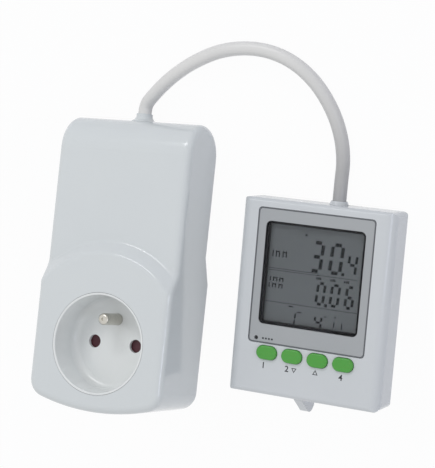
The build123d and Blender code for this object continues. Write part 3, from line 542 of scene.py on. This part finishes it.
class Surface(Enum):
    """The finishes of this object, each named for its real material, besides the painted shade
    round the plate.
    """

    # Gloss ABS of the adapter: cool white, with crisp thin highlights on the rounded edges
    ADAPTER_ABS = MouldedPlastic("gloss_abs_cool_white", "#CFD4D6", 0.12, shade="#CCD1D4", coat=0.2)
    # Polycarbonate of the socket and plug: a shade lighter and a touch less shiny
    SOCKET_PC = MouldedPlastic("moulded_polycarbonate_white", "#E1E4E4", 0.2, 1.58, shade="#DDE0E1")
    # ABS of the display: the same white, a little greyer, with weaker reflections
    DISPLAY_ABS = MouldedPlastic("gloss_abs_warm_white", "#CBCFD3", 0.16, 1.34, shade="#C8CCD0")
    # Nylon of the shutter: dark red, seen only through the pin holes
    SHUTTER_NYLON = MouldedPlastic("nylon_maroon", "#4C1020", 0.45, 1.53, shade="#3E0C19")
    # Black polyester of the contact carrier, the clamp and the switches: dull sheen
    CARRIER_PBT = MouldedPlastic("pbt_black", "#1C1D20", 0.42, 1.55, shade="#25272A")
    # Matt black of the window's frame: a thin dark border round the cell
    FRAME_BLACK = MouldedPlastic("frame_matt_black", "#0E1016", 0.5, 1.3, shade="#12141B")
    # Painted shade round the silver plate: a thin dark grey ring on its edge, for the shade in the
    # groove
    PLATE_EDGE_SHADE = MouldedPlastic("plate_edge_painted_shade_grey", "#63666B", 0.4, shade="#595C61")
    # Silicone of the keys: fresh green, with a soft broad sheen
    KEY_SILICONE = MouldedPlastic(
        "silicone_green", "#519F44", 0.3, 1.43, shade="#4B993E", skin_mm=0.6, soft_light=0.08
    )
    # PVC sheath of the cord: pale grey, softly shiny, with painted shade that greys it towards the
    # display
    CORD_PVC = CordSheath(
        "pvc_sheath_grey", "#D9D9D8", 0.38, 1.53, shade="#D3D3D3", cloud_mm=18.0, skin_mm=1.4
    )
    # Nickel-plated brass of the pins and the earth parts: bright, slightly warm
    NICKEL = TurnedMetal("nickel_plated_brass", "#C9C6BE", 0.24)
    # Bare brass of the contacts and straps: yellow, with brown stains
    BRASS = TurnedMetal("drawn_brass", "#C8A760", 0.3, tarnish="#8F7440")
    # Zinc-plated steel of the screws, spring and hinge pin: bluish grey
    ZINC_STEEL = TurnedMetal("zinc_plated_steel", "#B4B7B9", 0.32)
    # Satin silver lacquer of the plate round the window: even grey, with fine flakes
    SILVER_LACQUER = MouldedPlastic(
        "satin_silver_lacquer", "#A6A9AC", 0.36, shade="#9EA2A6", skin_mm=0.5, skin_depth_mm=0.006
    )
    # Clear acrylic of the window: nearly free of glare
    WINDOW_ACRYLIC = ClearSheet("clear_acrylic_low_glare", "#FFFFFF", 0.03, 1.2)
    # Polariser on the cell: dull mid grey
    LCD_FILM = PolariserFilm("lcd_polariser_grey", "#5E6366", 0.5, 1.3)
    # Dark liquid crystal of the strokes: nearly black, without gloss
    SEGMENT_INK = MouldedPlastic("lcd_segment_dark", "#1A1D20", 0.6, 1.2, shade="#202326")
    # Pad-printing ink of the marks: dark grey, without gloss
    PRINT_INK = MouldedPlastic("pad_print_dark_grey", "#26282C", 0.6, shade="#2E3034")
    # Foil behind the cell: bright and diffuse
    REFLECTOR_FOIL = TurnedMetal("reflector_foil", "#B5B9B2", 0.5)
    # Solder mask of the boards: glossy dark green
    SOLDER_MASK = MouldedPlastic("solder_mask_green", "#1F5A35", 0.35, shade="#184B2B", skin_mm=1.5)
    # Epoxy of the chips: dull black
    CHIP_EPOXY = MouldedPlastic("epoxy_black", "#17181A", 0.5, shade="#1F2022")
    # Polyester tape round the transformer and the mains capacitor: warm yellow
    TAPE_YELLOW = MouldedPlastic("polyester_tape_yellow", "#D8B13C", 0.4, shade="#CBA230")
    # Shrink sleeve of the smoothing capacitor: glossy blue-black
    CAN_SLEEVE = MouldedPlastic("shrink_sleeve_blue_black", "#20242E", 0.3, shade="#282D38")
    # Dipped epoxy of the varistor: glossy blue
    DIP_BLUE = MouldedPlastic("dipped_epoxy_blue", "#27509A", 0.3, shade="#1F4486")
    # Nylon of the connectors and the fuse: milky off-white
    HOUSING_NYLON = MouldedPlastic("nylon_natural", "#E2DED0", 0.45, 1.53, shade="#D8D3C3")
    # Manganin of the shunt: coppery, with dark stains
    COPPER = TurnedMetal("manganin_copper", "#C58058", 0.35, tarnish="#7E4F38")
    # Layered rubber of the contact strips: dull dark grey
    ZEBRA_RUBBER = MouldedPlastic("zebra_rubber", "#3A3B3D", 0.7, 1.45, shade="#2E2F31")


class Shelf:
    """Builds each finish once and hands it out."""

    def __init__(self) -> None:
        """Start with an empty shelf."""
        self._made: dict[Surface, bpy.types.Material] = {}

    def get(self, surface: Surface) -> bpy.types.Material:
        """Return the material of a finish, built on first use."""
        if surface not in self._made:
            self._made[surface] = surface.value.material()
        return self._made[surface]


class Stroke(Enum):
    """The seven strokes of a figure: middle in shares of its box, and whether it lies flat."""

    TOP = (0.5, 1.0, True)
    UPPER_RIGHT = (1.0, 0.75, False)
    LOWER_RIGHT = (1.0, 0.25, False)
    BOTTOM = (0.5, 0.0, True)
    LOWER_LEFT = (0.0, 0.25, False)
    UPPER_LEFT = (0.0, 0.75, False)
    MIDDLE = (0.5, 0.5, True)


RIGHT_SIDE = (Stroke.UPPER_RIGHT, Stroke.LOWER_RIGHT)
LEFT_SIDE = (Stroke.UPPER_LEFT, Stroke.LOWER_LEFT)
FIGURES: dict[str, tuple[Stroke, ...]] = {
    "0": (Stroke.TOP, Stroke.BOTTOM, *LEFT_SIDE, *RIGHT_SIDE),
    "3": (Stroke.TOP, Stroke.MIDDLE, Stroke.BOTTOM, *RIGHT_SIDE),
    "4": (Stroke.UPPER_LEFT, Stroke.MIDDLE, *RIGHT_SIDE),
    "6": (Stroke.TOP, Stroke.MIDDLE, Stroke.BOTTOM, *LEFT_SIDE, Stroke.LOWER_RIGHT),
    "1": LEFT_SIDE,
}


@dataclass(frozen=True)
class Figure:
    """One seven-stroke figure: its sign, and the box of its strokes' centre lines."""

    sign: str
    left: float
    bottom: float
    width: float
    height: float
    stroke: float


@dataclass(frozen=True)
class Caption:
    """A row of small blocks that stands for a caption of the cell."""

    left: float
    y: float
    widths: tuple[float, ...]
    height: float


@dataclass
class Reading:
    """Everything written in liquid crystal, in the display's millimetres."""

    unit: UnitFrame
    depth: float = 3.24
    thickness: float = 0.04
    slant: float = 0.07
    gap: float = 0.12
    figures: tuple[Figure, ...] = (
        Figure("3", -2.1, 4.1, 4.2, 11.3, 1.45),
        Figure("0", 6.2, 4.2, 4.3, 11.2, 1.45),
        Figure("4", 13.7, 4.1, 3.1, 8.2, 1.1),
        Figure("0", 1.6, -8.9, 2.9, 8.3, 1.15),
        Figure("0", 7.6, -8.9, 3.1, 8.3, 1.15),
        Figure("6", 13.9, -8.9, 2.9, 8.3, 1.15),
        Figure("1", -6.9, -19.2, 2.6, 5.6, 0.7),
        Figure("4", 1.7, -18.9, 2.7, 5.2, 0.85),
    )
    # Decimal points, square
    points: tuple[tuple[float, float], ...] = ((11.9, 4.1), (5.9, -9.2))
    point_size: float = 1.2
    # Lines between the rows: middle x, y and length
    rules: tuple[tuple[float, float, float], ...] = (
        (-9.3, 3.1, 22.6),
        (-9.3, 2.3, 22.6),
        (9.8, 2.5, 17.0),
        (-0.8, -10.5, 40.0),
    )
    rule_width: float = 0.2
    captions: tuple[Caption, ...] = (
        Caption(-18.7, 9.0, (1.5, 1.3, 1.6, 1.4, 1.3), 2.6),
        Caption(-18.9, -1.3, (1.4, 1.4, 1.3, 1.4, 1.3), 1.7),
        Caption(-19.2, -3.9, (1.5, 1.3, 1.5, 1.3, 1.5), 1.8),
        Caption(1.0, 1.2, (0.8, 0.8, 0.8), 1.0),
        Caption(7.0, 1.2, (0.8, 0.8, 0.8), 1.0),
        Caption(12.8, 1.2, (0.8, 0.8, 0.8), 1.0),
    )
    caption_bar: float = 0.5
    caption_bar_rise: float = 0.3
    # Parts of signs at the top and the foot of the cell: middle x, y, width and height
    signs: tuple[tuple[float, float, float, float], ...] = (
        (-4.8, 17.8, 0.9, 0.9),
        (-8.8, -11.5, 2.0, 0.5),
        (-5.0, -13.4, 1.8, 0.5),
        (5.9, -13.6, 0.3, 0.7),
        (6.5, -13.6, 0.3, 0.7),
        (10.4, -13.3, 0.6, 0.6),
        (10.1, -16.3, 0.45, 2.2),
        (13.4, -16.6, 0.45, 2.4),
    )

    def build(self, ink: bpy.types.Material) -> bpy.types.Object:
        """Build all strokes as one thin piece on the cell's front face.

        Args:
            ink: Finish of a dark stroke.

        Returns:
            The piece.
        """
        drawn = bmesh.new()
        for figure in self.figures:
            self._figure(drawn, figure)
        for x, y in self.points:
            flat_block(drawn, (x, y), (self.point_size, self.point_size))
        for x, y, length in self.rules:
            flat_block(drawn, (x, y), (length, self.rule_width))
        for caption in self.captions:
            self._caption(drawn, caption)
        for x, y, width, height in self.signs:
            flat_block(drawn, (x, y), (width, height))
        raised(drawn, drawn.faces[:], self.thickness)
        place = self.unit.matrix() @ Matrix.Translation((0, 0, -self.depth))
        return dressed(finished_object("lcd_reading", mesh_of(drawn, "lcd_reading"), place), ink)

    def _figure(self, drawn: bmesh.types.BMesh, figure: Figure) -> None:
        """Draw one figure of plain bars, leaning to the right."""
        for stroke in FIGURES[figure.sign]:
            share_x, share_y, flat = stroke.value
            x = figure.left + share_x * figure.width
            y = figure.bottom + share_y * figure.height
            length = (figure.width if flat else figure.height / 2) - self.gap - figure.stroke
            size = (length, figure.stroke) if flat else (figure.stroke, length)
            bar = flat_block(drawn, (x, y), size)[0]
            for vert in bar.verts:
                vert.co.x += self.slant * (vert.co.y - figure.bottom)

    def _caption(self, drawn: bmesh.types.BMesh, caption: Caption) -> None:
        """Draw one caption: upright bars, with a cross bar on every second one."""
        bar, left = self.caption_bar, caption.left
        for number, width in enumerate(caption.widths):
            flat_block(drawn, (left + bar / 2, caption.y), (bar, caption.height))
            if number % 2:
                y = caption.y + caption.height * self.caption_bar_rise
                flat_block(drawn, (left + (width + bar) / 2, y), (width - bar, bar))
            left += width


@dataclass(frozen=True)
class CrossScrew:
    """Pan-head screw with a cross recess; depths are behind the unit's front plane."""

    head_radius: float
    head_height: float
    shank_radius: float
    length: float
    seat_depth: float
    edge_share: float = 0.35
    tip_share: float = 0.7
    slot_mouth_share: float = 0.95
    slot_floor_share: float = 0.5
    slot_depth_share: float = 0.75
    slot_middle_share: float = 0.33
    slot_width_share: float = 0.28

    def mesh(self, places: list[tuple[float, float]]) -> bpy.types.Mesh:
        """Build one mesh with a screw at each place.

        Args:
            places: Where the screws' axes stand.

        Returns:
            The mesh, in the unit's millimetres.
        """
        drawn = bmesh.new()
        head = bmesh.ops.create_cone(
            drawn,
            cap_ends=True,
            segments=32,
            radius1=self.head_radius,
            radius2=self.head_radius,
            depth=self.head_height,
        )["verts"]
        middle = -self.seat_depth - self.head_height / 2
        bmesh.ops.translate(drawn, verts=head, vec=(0, 0, middle))
        rim = [e for e in drawn.edges if all(v.co.z < middle for v in e.verts)]
        bmesh.ops.bevel(
            drawn,
            geom=rim,
            offset=self.head_height * self.edge_share,
            affect="EDGES",
            segments=3,
            profile=0.5,
            material=-1,
        )
        shank = bmesh.ops.create_cone(
            drawn,
            cap_ends=True,
            segments=20,
            radius1=self.shank_radius,
            radius2=self.shank_radius * self.tip_share,
            depth=self.length,
        )["verts"]
        bmesh.ops.translate(drawn, verts=shank, vec=(0, 0, self.length / 2 - self.seat_depth))
        one = self._with_recess(mesh_of(drawn, "screw"))
        together = bmesh.new()
        for x, y in places:
            before = len(together.verts)
            together.from_mesh(one)
            together.verts.ensure_lookup_table()
            bmesh.ops.translate(together, verts=together.verts[before:], vec=(x, y, 0))
        return mesh_of(together, "screws")

    def _with_recess(self, solid: bpy.types.Mesh) -> bpy.types.Mesh:
        """Cut the cross recess into the head.

        Args:
            solid: Mesh of the screw.

        Returns:
            A new mesh with the recess.
        """
        drawn = bmesh.new()
        middle = self.head_height * self.slot_middle_share - self.head_height - self.seat_depth
        for turn in (0.0, math.pi / 2):
            verts = bmesh.ops.create_cone(
                drawn,
                cap_ends=True,
                segments=4,
                radius1=self.head_radius * self.slot_mouth_share,
                radius2=self.head_radius * self.slot_floor_share,
                depth=self.head_height * self.slot_depth_share,
            )["verts"]
            square = Matrix.Rotation(math.pi / 4, 3, "Z")
            bmesh.ops.rotate(drawn, verts=verts, matrix=square)
            bmesh.ops.scale(drawn, verts=verts, vec=(1, self.slot_width_share, 1))
            aslant = Matrix.Rotation(turn + math.pi / 8, 3, "Z")
            bmesh.ops.rotate(drawn, verts=verts, matrix=aslant)
            bmesh.ops.translate(drawn, verts=verts, vec=(0, 0, middle))
        cutter = bpy.data.objects.new("screw_recess", mesh_of(drawn, "screw_recess"))
        screw = bpy.data.objects.new("screw", solid)
        for piece in (cutter, screw):
            bpy.context.scene.collection.objects.link(piece)
        boolean = screw.modifiers.new("recess", "BOOLEAN")
        boolean.operation = "DIFFERENCE"
        boolean.solver = "EXACT"
        boolean.use_self = True
        boolean.object = cutter
        cut = evaluated_mesh(screw)
        for piece in (cutter, screw):
            bpy.data.objects.remove(piece)
        return cut


@dataclass
class Housing:
    """What both units share: solids that are dressed and screws in the back."""

    unit: UnitFrame
    nodes: dict[str, bpy.types.Object]
    shelf: Shelf

    def dress(self, finishes: dict[str, Surface]) -> None:
        """Give each named solid its finish."""
        for name, surface in finishes.items():
            dressed(self.nodes[name], self.shelf.get(surface))

    def piece(self, name: str, mesh: bpy.types.Mesh, surface: Surface) -> bpy.types.Object:
        """Return a new piece from a mesh in the unit's millimetres, in its finish."""
        return dressed(finished_object(name, mesh, self.unit.matrix()), self.shelf.get(surface))

    def screws(
        self, name: str, screw: CrossScrew, side: float, heights: tuple[float, float]
    ) -> bpy.types.Object:
        """Make the four screws of the back.

        Args:
            name: Name of the piece.
            screw: The screw.
            side: Distance of the screws from the middle line.
            heights: How far up the lower and the upper pair sit.

        Returns:
            The screws as one piece.
        """
        places = [(x, y) for x in (-side, side) for y in heights]
        return self.piece(name, screw.mesh(places), Surface.ZINC_STEEL)


@dataclass
class Adapter(Housing):
    """The socket adapter: finishes of its solids, and its screws."""

    screw: CrossScrew = CrossScrew(2.7, 1.7, 1.4, 11.5, 29.6)
    screw_x: float = 23.4
    screw_heights: tuple[float, float] = (-13.5, 72.0)
    finishes: dict[str, Surface] = field(
        default_factory=lambda: {
            "adapter_front_shell": Surface.ADAPTER_ABS,
            "adapter_rear_shell": Surface.ADAPTER_ABS,
            "socket_insert": Surface.SOCKET_PC,
            "plug_body": Surface.SOCKET_PC,
            "earth_pin": Surface.NICKEL,
            "plug_pin_left": Surface.NICKEL,
            "plug_pin_right": Surface.NICKEL,
            "earth_sleeve": Surface.NICKEL,
            "earth_clips": Surface.NICKEL,
            "earth_link": Surface.BRASS,
            "feed_strap_left": Surface.BRASS,
            "feed_strap_right": Surface.BRASS,
            "socket_shutter": Surface.SHUTTER_NYLON,
            "shutter_spring": Surface.ZINC_STEEL,
            "contact_carrier": Surface.CARRIER_PBT,
            "contact_left": Surface.BRASS,
            "contact_right": Surface.BRASS,
            "meter_board": Surface.SOLDER_MASK,
            "transformer": Surface.TAPE_YELLOW,
            "mains_capacitor": Surface.TAPE_YELLOW,
            "smoothing_capacitor": Surface.CAN_SLEEVE,
            "fuse": Surface.HOUSING_NYLON,
            "varistor": Surface.DIP_BLUE,
            "shunt": Surface.COPPER,
            "meter_chip": Surface.CHIP_EPOXY,
            "meter_plug": Surface.HOUSING_NYLON,
            "meter_clamp": Surface.CARRIER_PBT,
            "adapter_gland": Surface.ADAPTER_ABS,
            "cord_tail_meter": Surface.CORD_PVC,
        }
    )

    def build(self) -> None:
        """Dress the solids and add the screws."""
        self.dress(self.finishes)
        screws = self.screws(
            "adapter_cross_screws", self.screw, self.screw_x, self.screw_heights
        )
        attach(screws, "case")
        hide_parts("adapter_screws")
        LOG.info("adapter: %d solids dressed", len(self.finishes))


@dataclass
class Display(Housing):
    """The display unit: finishes of its solids, the reading, the printed marks and the screws."""

    screw: CrossScrew = CrossScrew(2.1, 1.2, 1.1, 8.5, 15.2)
    screw_x: float = 27.2
    screw_heights: tuple[float, float] = (-41.0, 22.0)
    print_thickness: float = 0.02
    # Numbers under the keys: sign and middle x
    numbers: tuple[tuple[str, float], ...] = (("1", -17.2), ("2", -7.0), ("4", 16.0))
    number_height: float = 2.4
    number_share: float = 0.7
    number_swell: float = 0.05
    number_foot: float = -37.4
    # Arrows under the keys: middle x, radius and turn
    arrows: tuple[tuple[float, float, float], ...] = ((-3.9, 1.3, math.pi), (5.2, 1.35, 0.0))
    arrow_line_share: float = 0.22
    # Dashes beside the reset hole, on the plate
    dash_places: tuple[float, ...] = (-18.4, -17.1, -15.8, -14.5)
    dash_y: float = -25.4
    dash_size: tuple[float, float] = (0.8, 0.7)
    plate_front: float = 0.1
    plate_size: tuple[float, float] = (49.4, 54.4)
    plate_corner: float = 1.6
    # Width of the painted shade ring on the plate's edge
    edge_shade_width: float = 0.4
    finishes: dict[str, Surface] = field(
        default_factory=lambda: {
            "display_front_shell": Surface.DISPLAY_ABS,
            "display_rear_shell": Surface.DISPLAY_ABS,
            "kickstand": Surface.DISPLAY_ABS,
            "kickstand_pin": Surface.ZINC_STEEL,
            "silver_plate": Surface.SILVER_LACQUER,
            "window_lens": Surface.WINDOW_ACRYLIC,
            "lcd_frame": Surface.FRAME_BLACK,
            "lcd_glass": Surface.LCD_FILM,
            "lcd_reflector": Surface.REFLECTOR_FOIL,
            "zebra_strips": Surface.ZEBRA_RUBBER,
            "display_board": Surface.SOLDER_MASK,
            "driver_chip": Surface.CHIP_EPOXY,
            "backup_cell": Surface.ZINC_STEEL,
            "cell_clip": Surface.ZINC_STEEL,
            "display_plug": Surface.HOUSING_NYLON,
            "key_1": Surface.KEY_SILICONE,
            "key_2": Surface.KEY_SILICONE,
            "key_3": Surface.KEY_SILICONE,
            "key_4": Surface.KEY_SILICONE,
            "key_switches": Surface.CARRIER_PBT,
            "reset_plunger": Surface.CARRIER_PBT,
            "reset_switch": Surface.CARRIER_PBT,
            "display_collar": Surface.DISPLAY_ABS,
            "cord_tail_display": Surface.CORD_PVC,
        }
    )

    def build(self) -> None:
        """Dress the solids and add the reading, the marks, the painted shade round the plate and
        the screws.
        """
        self.dress(self.finishes)
        reading = Reading(self.unit).build(self.shelf.get(Surface.SEGMENT_INK))
        for piece in (reading, self._marks(), self._painted_plate_edge_shade()):
            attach(piece, "case")
        screws = self.screws(
            "display_cross_screws", self.screw, self.screw_x, self.screw_heights
        )
        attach(screws, "case")
        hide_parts("display_screws")
        LOG.info("display: %d solids dressed", len(self.finishes))

    def _painted_plate_edge_shade(self) -> bpy.types.Object:
        """Lay a ring of painted shade on the edge of the silver plate, for the shade in the groove
        round it.

        Returns:
            The painted shade, as one thin ring that lies on the plate's edge.
        """
        # Painted shade: a dark ring along the plate's edge, where the groove round the plate is in
        # shade
        drawn = bmesh.new()
        flat_block(drawn, (0, 0), self.plate_size)
        bmesh.ops.bevel(
            drawn,
            geom=drawn.verts[:],
            offset=self.plate_corner,
            affect="VERTICES",
            segments=6,
            profile=0.5,
            material=-1,
        )
        ring = flat_ring(drawn, drawn.faces[:], self.edge_shade_width)
        bmesh.ops.translate(drawn, verts=drawn.verts[:], vec=(0, 0, -self.plate_front))
        raised(drawn, ring, self.print_thickness)
        return self.piece("plate_edge_painted_shade", mesh_of(drawn, "plate_edge_painted_shade"), Surface.PLATE_EDGE_SHADE)

    def _marks(self) -> bpy.types.Object:
        """Print numbers and arrows under the keys, and dashes beside the reset hole.

        Returns:
            The marks as one thin piece.
        """
        drawn = bmesh.new()
        for text, x in self.numbers:
            self._number(drawn, text, x)
        for x, radius, turn in self.arrows:
            self._arrow(drawn, x, radius, turn)
        for x in self.dash_places:
            dash = flat_block(drawn, (x, self.dash_y), self.dash_size)
            bmesh.ops.translate(drawn, verts=dash[0].verts[:], vec=(0, 0, -self.plate_front))
            raised(drawn, dash, self.print_thickness)
        return self.piece("printed_marks", mesh_of(drawn, "printed_marks"), Surface.PRINT_INK)

    def _number(self, drawn: bmesh.types.BMesh, text: str, x: float) -> None:
        """Add a printed number, centred over a place.

        Args:
            drawn: Mesh that the number goes into.
            text: The number.
            x: Middle of the number.
        """
        curve = bpy.data.curves.new("number", "FONT")
        curve.body = text
        curve.size = self.number_height / self.number_share
        curve.align_x = "CENTER"
        curve.extrude = self.print_thickness
        curve.offset = self.number_swell
        letter = bpy.data.objects.new("number", curve)
        bpy.context.scene.collection.objects.link(letter)
        mesh = evaluated_mesh(letter)
        bpy.data.objects.remove(letter)
        mesh.transform(Matrix.Translation((x, self.number_foot, 0)))
        drawn.from_mesh(mesh)
        bpy.data.meshes.remove(mesh)

    def _arrow(self, drawn: bmesh.types.BMesh, x: float, radius: float, turn: float) -> None:
        """Add an outlined triangle that points up, turned by an angle."""
        verts = bmesh.ops.create_circle(drawn, cap_ends=True, segments=3, radius=radius)["verts"]
        bmesh.ops.rotate(drawn, verts=verts, matrix=Matrix.Rotation(turn, 3, "Z"))
        y = self.number_foot + self.number_height / 2
        bmesh.ops.translate(drawn, verts=verts, vec=(x, y, 0))
        ring = flat_ring(drawn, [verts[0].link_faces[0]], radius * self.arrow_line_share)
        raised(drawn, ring, self.print_thickness)


@dataclass
class Cord:
    """The round cord between the units: the corner points of its route, in metres."""

    shelf: Shelf
    diameter: float = 0.0056
    route: tuple[tuple[float, float, float], ...] = (
        (-0.04080, 0.06116, 0.00441),
        (-0.04080, 0.06283, 0.00360),
        (-0.04040, 0.06448, 0.00310),
        (-0.03955, 0.06608, 0.00285),
        (-0.03720, 0.06858, 0.00285),
        (-0.03260, 0.07298, 0.00285),
        (-0.02560, 0.07868, 0.00285),
        (-0.01520, 0.08508, 0.00285),
        (-0.00200, 0.09028, 0.00285),
        (0.01320, 0.09128, 0.00285),
        (0.02610, 0.08718, 0.00285),
        (0.03600, 0.07868, 0.00285),
        (0.04250, 0.06728, 0.00285),
        (0.04540, 0.05628, 0.00285),
        (0.04570, 0.04628, 0.00285),
        (0.04412, 0.03766, 0.00285),
        (0.04387, 0.03002, 0.00555),
    )

    def build(self) -> None:
        curve = bpy.data.curves.new("cord_between_units", "CURVE")
        curve.dimensions = "3D"
        curve.bevel_depth = self.diameter / 2
        curve.bevel_resolution = 8
        curve.resolution_u = 12
        curve.use_fill_caps = True
        spline = curve.splines.new("NURBS")
        spline.points.add(len(self.route) - 1)
        for point, place in zip(spline.points, self.route):
            point.co = (*place, 1.0)
        spline.order_u = 3
        spline.use_endpoint_u = True
        piece = bpy.data.objects.new("cord_between_units", curve)
        bpy.context.scene.collection.objects.link(piece)
        dressed(piece, self.shelf.get(Surface.CORD_PVC))
        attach(piece, "case")
        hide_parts("cord")
        LOG.info("cord: %d route points", len(self.route))


@dataclass(frozen=True)
class SoftLamp:
    """A soft box that faces the object: its middle, its width and height, and its power."""

    name: str
    place: tuple[float, float, float]
    width: float
    height: float
    power: float
    colour: str = "#FFFFFF"
    mirrored: bool = True


@dataclass
class Studio:
    """Camera, lamps, white surroundings and pale floor."""

    eye: tuple[float, float, float] = (0.26702, 0.26176, 0.54767)
    towards: tuple[float, float, float] = (-0.423, -0.381, -0.822)
    upward: tuple[float, float, float] = (-0.087, 0.920, -0.381)
    lens: float = 121.3
    sensor: float = 36.0
    lamps: tuple[SoftLamp, ...] = (
        SoftLamp("back_strip", (-0.16, 0.81, 0.35), 0.46, 0.16, 1.5),
        SoftLamp("left_soft_box", (-0.40, 0.45, 0.62), 0.35, 0.35, 0.45, mirrored=False),
        SoftLamp("right_strip", (0.64, 0.08, 0.44), 0.06, 0.28, 0.38, "#E2E8FF"),
    )
    surround: float = 0.75
    floor_size: float = 6.0
    paper: str = "#DCDDE4"
    floor_glow: float = 0.96

    def place_camera(self) -> None:
        """Put the camera where the photograph was taken from."""
        data = bpy.data.cameras.new("photograph_view")
        data.sensor_width = self.sensor
        data.lens = self.lens
        data.clip_start = 0.01
        camera = bpy.data.objects.new("photograph_view", data)
        bpy.context.scene.collection.objects.link(camera)
        back = -Vector(self.towards).normalized()
        right = Vector(self.upward).cross(back).normalized()
        up = back.cross(right)
        turn = Matrix((right, up, back)).transposed().to_4x4()
        camera.matrix_world = Matrix.Translation(self.eye) @ turn
        bpy.context.scene.camera = camera

    def build(self) -> None:
        """Set up the floor, the surroundings and the lamps."""
        scene = bpy.context.scene
        scene.view_settings.view_transform = "Standard"
        self._floor()
        self._surroundings()
        for lamp in self.lamps:
            self._lamp(lamp)
        LOG.info("studio: %d lamps", len(self.lamps))

    def _lamp(self, lamp: SoftLamp) -> None:
        """Hang one soft box, facing the object."""
        data = bpy.data.lights.new(lamp.name, "AREA")
        data.shape = "RECTANGLE"
        data.size, data.size_y = lamp.width, lamp.height
        data.energy = lamp.power
        data.color = linear(lamp.colour)[:3]
        item = bpy.data.objects.new(lamp.name, data)
        item.visible_glossy = lamp.mirrored
        bpy.context.scene.collection.objects.link(item)
        away = Vector(lamp.place)
        turn = away.to_track_quat("Z", "Y").to_matrix().to_4x4()
        item.matrix_world = Matrix.Translation(away) @ turn

    def _floor(self) -> None:
        """Lay the pale floor, which shows white with the object's soft shadow on it."""
        drawn = bmesh.new()
        flat_block(drawn, (0, 0), (self.floor_size, self.floor_size))
        floor = finished_object("floor", mesh_of(drawn, "floor"), Matrix.Identity(4))
        material = bpy.data.materials.new("pale_studio_paper")
        material.use_nodes = True
        tree = material.node_tree
        tree.nodes.clear()
        paper = add_node(
            tree, "ShaderNodeBsdfDiffuse", inputs={"Color": linear(self.paper), "Roughness": 1.0}
        )
        glow = add_node(
            tree, "ShaderNodeEmission", inputs={"Color": linear("#FFFFFF"), "Strength": 1.0}
        )
        rays = add_node(tree, "ShaderNodeLightPath")
        share = add_node(
            tree,
            "ShaderNodeMath",
            operation="MULTIPLY",
            inputs={0: self._seen(tree, rays), 1: self.floor_glow},
        )
        mixed = add_node(
            tree,
            "ShaderNodeMixShader",
            inputs={0: share.outputs[0], 1: paper.outputs[0], 2: glow.outputs[0]},
        )
        add_node(tree, "ShaderNodeOutputMaterial", inputs={"Surface": mixed.outputs[0]})
        dressed(floor, material)

    def _seen(self, tree: bpy.types.NodeTree, rays: bpy.types.Node) -> bpy.types.NodeSocket:
        """Return 1 for camera, glossy and transmission rays and 0 for the rest."""
        first = add_node(
            tree,
            "ShaderNodeMath",
            operation="MAXIMUM",
            inputs={0: rays.outputs["Is Camera Ray"], 1: rays.outputs["Is Glossy Ray"]},
        )
        second = add_node(
            tree,
            "ShaderNodeMath",
            operation="MAXIMUM",
            inputs={0: first.outputs[0], 1: rays.outputs["Is Transmission Ray"]},
        )
        return second.outputs[0]

    def _surroundings(self) -> None:
        """Make the world a soft grey light that shows as white."""
        world = bpy.data.worlds.new("white_surroundings")
        bpy.context.scene.world = world
        world.use_nodes = True
        tree = world.node_tree
        tree.nodes.clear()
        light, shown = (
            add_node(
                tree,
                "ShaderNodeBackground",
                inputs={"Color": linear("#FFFFFF"), "Strength": strength},
            )
            for strength in (self.surround, 1.0)
        )
        rays = add_node(tree, "ShaderNodeLightPath")
        mixed = add_node(
            tree,
            "ShaderNodeMixShader",
            inputs={0: self._seen(tree, rays), 1: light.outputs[0], 2: shown.outputs[0]},
        )
        add_node(tree, "ShaderNodeOutputWorld", inputs={"Surface": mixed.outputs[0]})


def main() -> None:
    """Load the frame, set the camera, lay the cord and build each unit."""
    logging.basicConfig(level=logging.INFO, format="%(message)s")
    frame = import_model()
    shelf = Shelf()
    studio = Studio()
    studio.place_camera()
    Cord(shelf).build()
    Adapter(adapter_frame(frame), frame["nodes"], shelf).build()
    Display(display_frame(frame), frame["nodes"], shelf).build()
    studio.build()


if __name__ == "__main__":
    main()
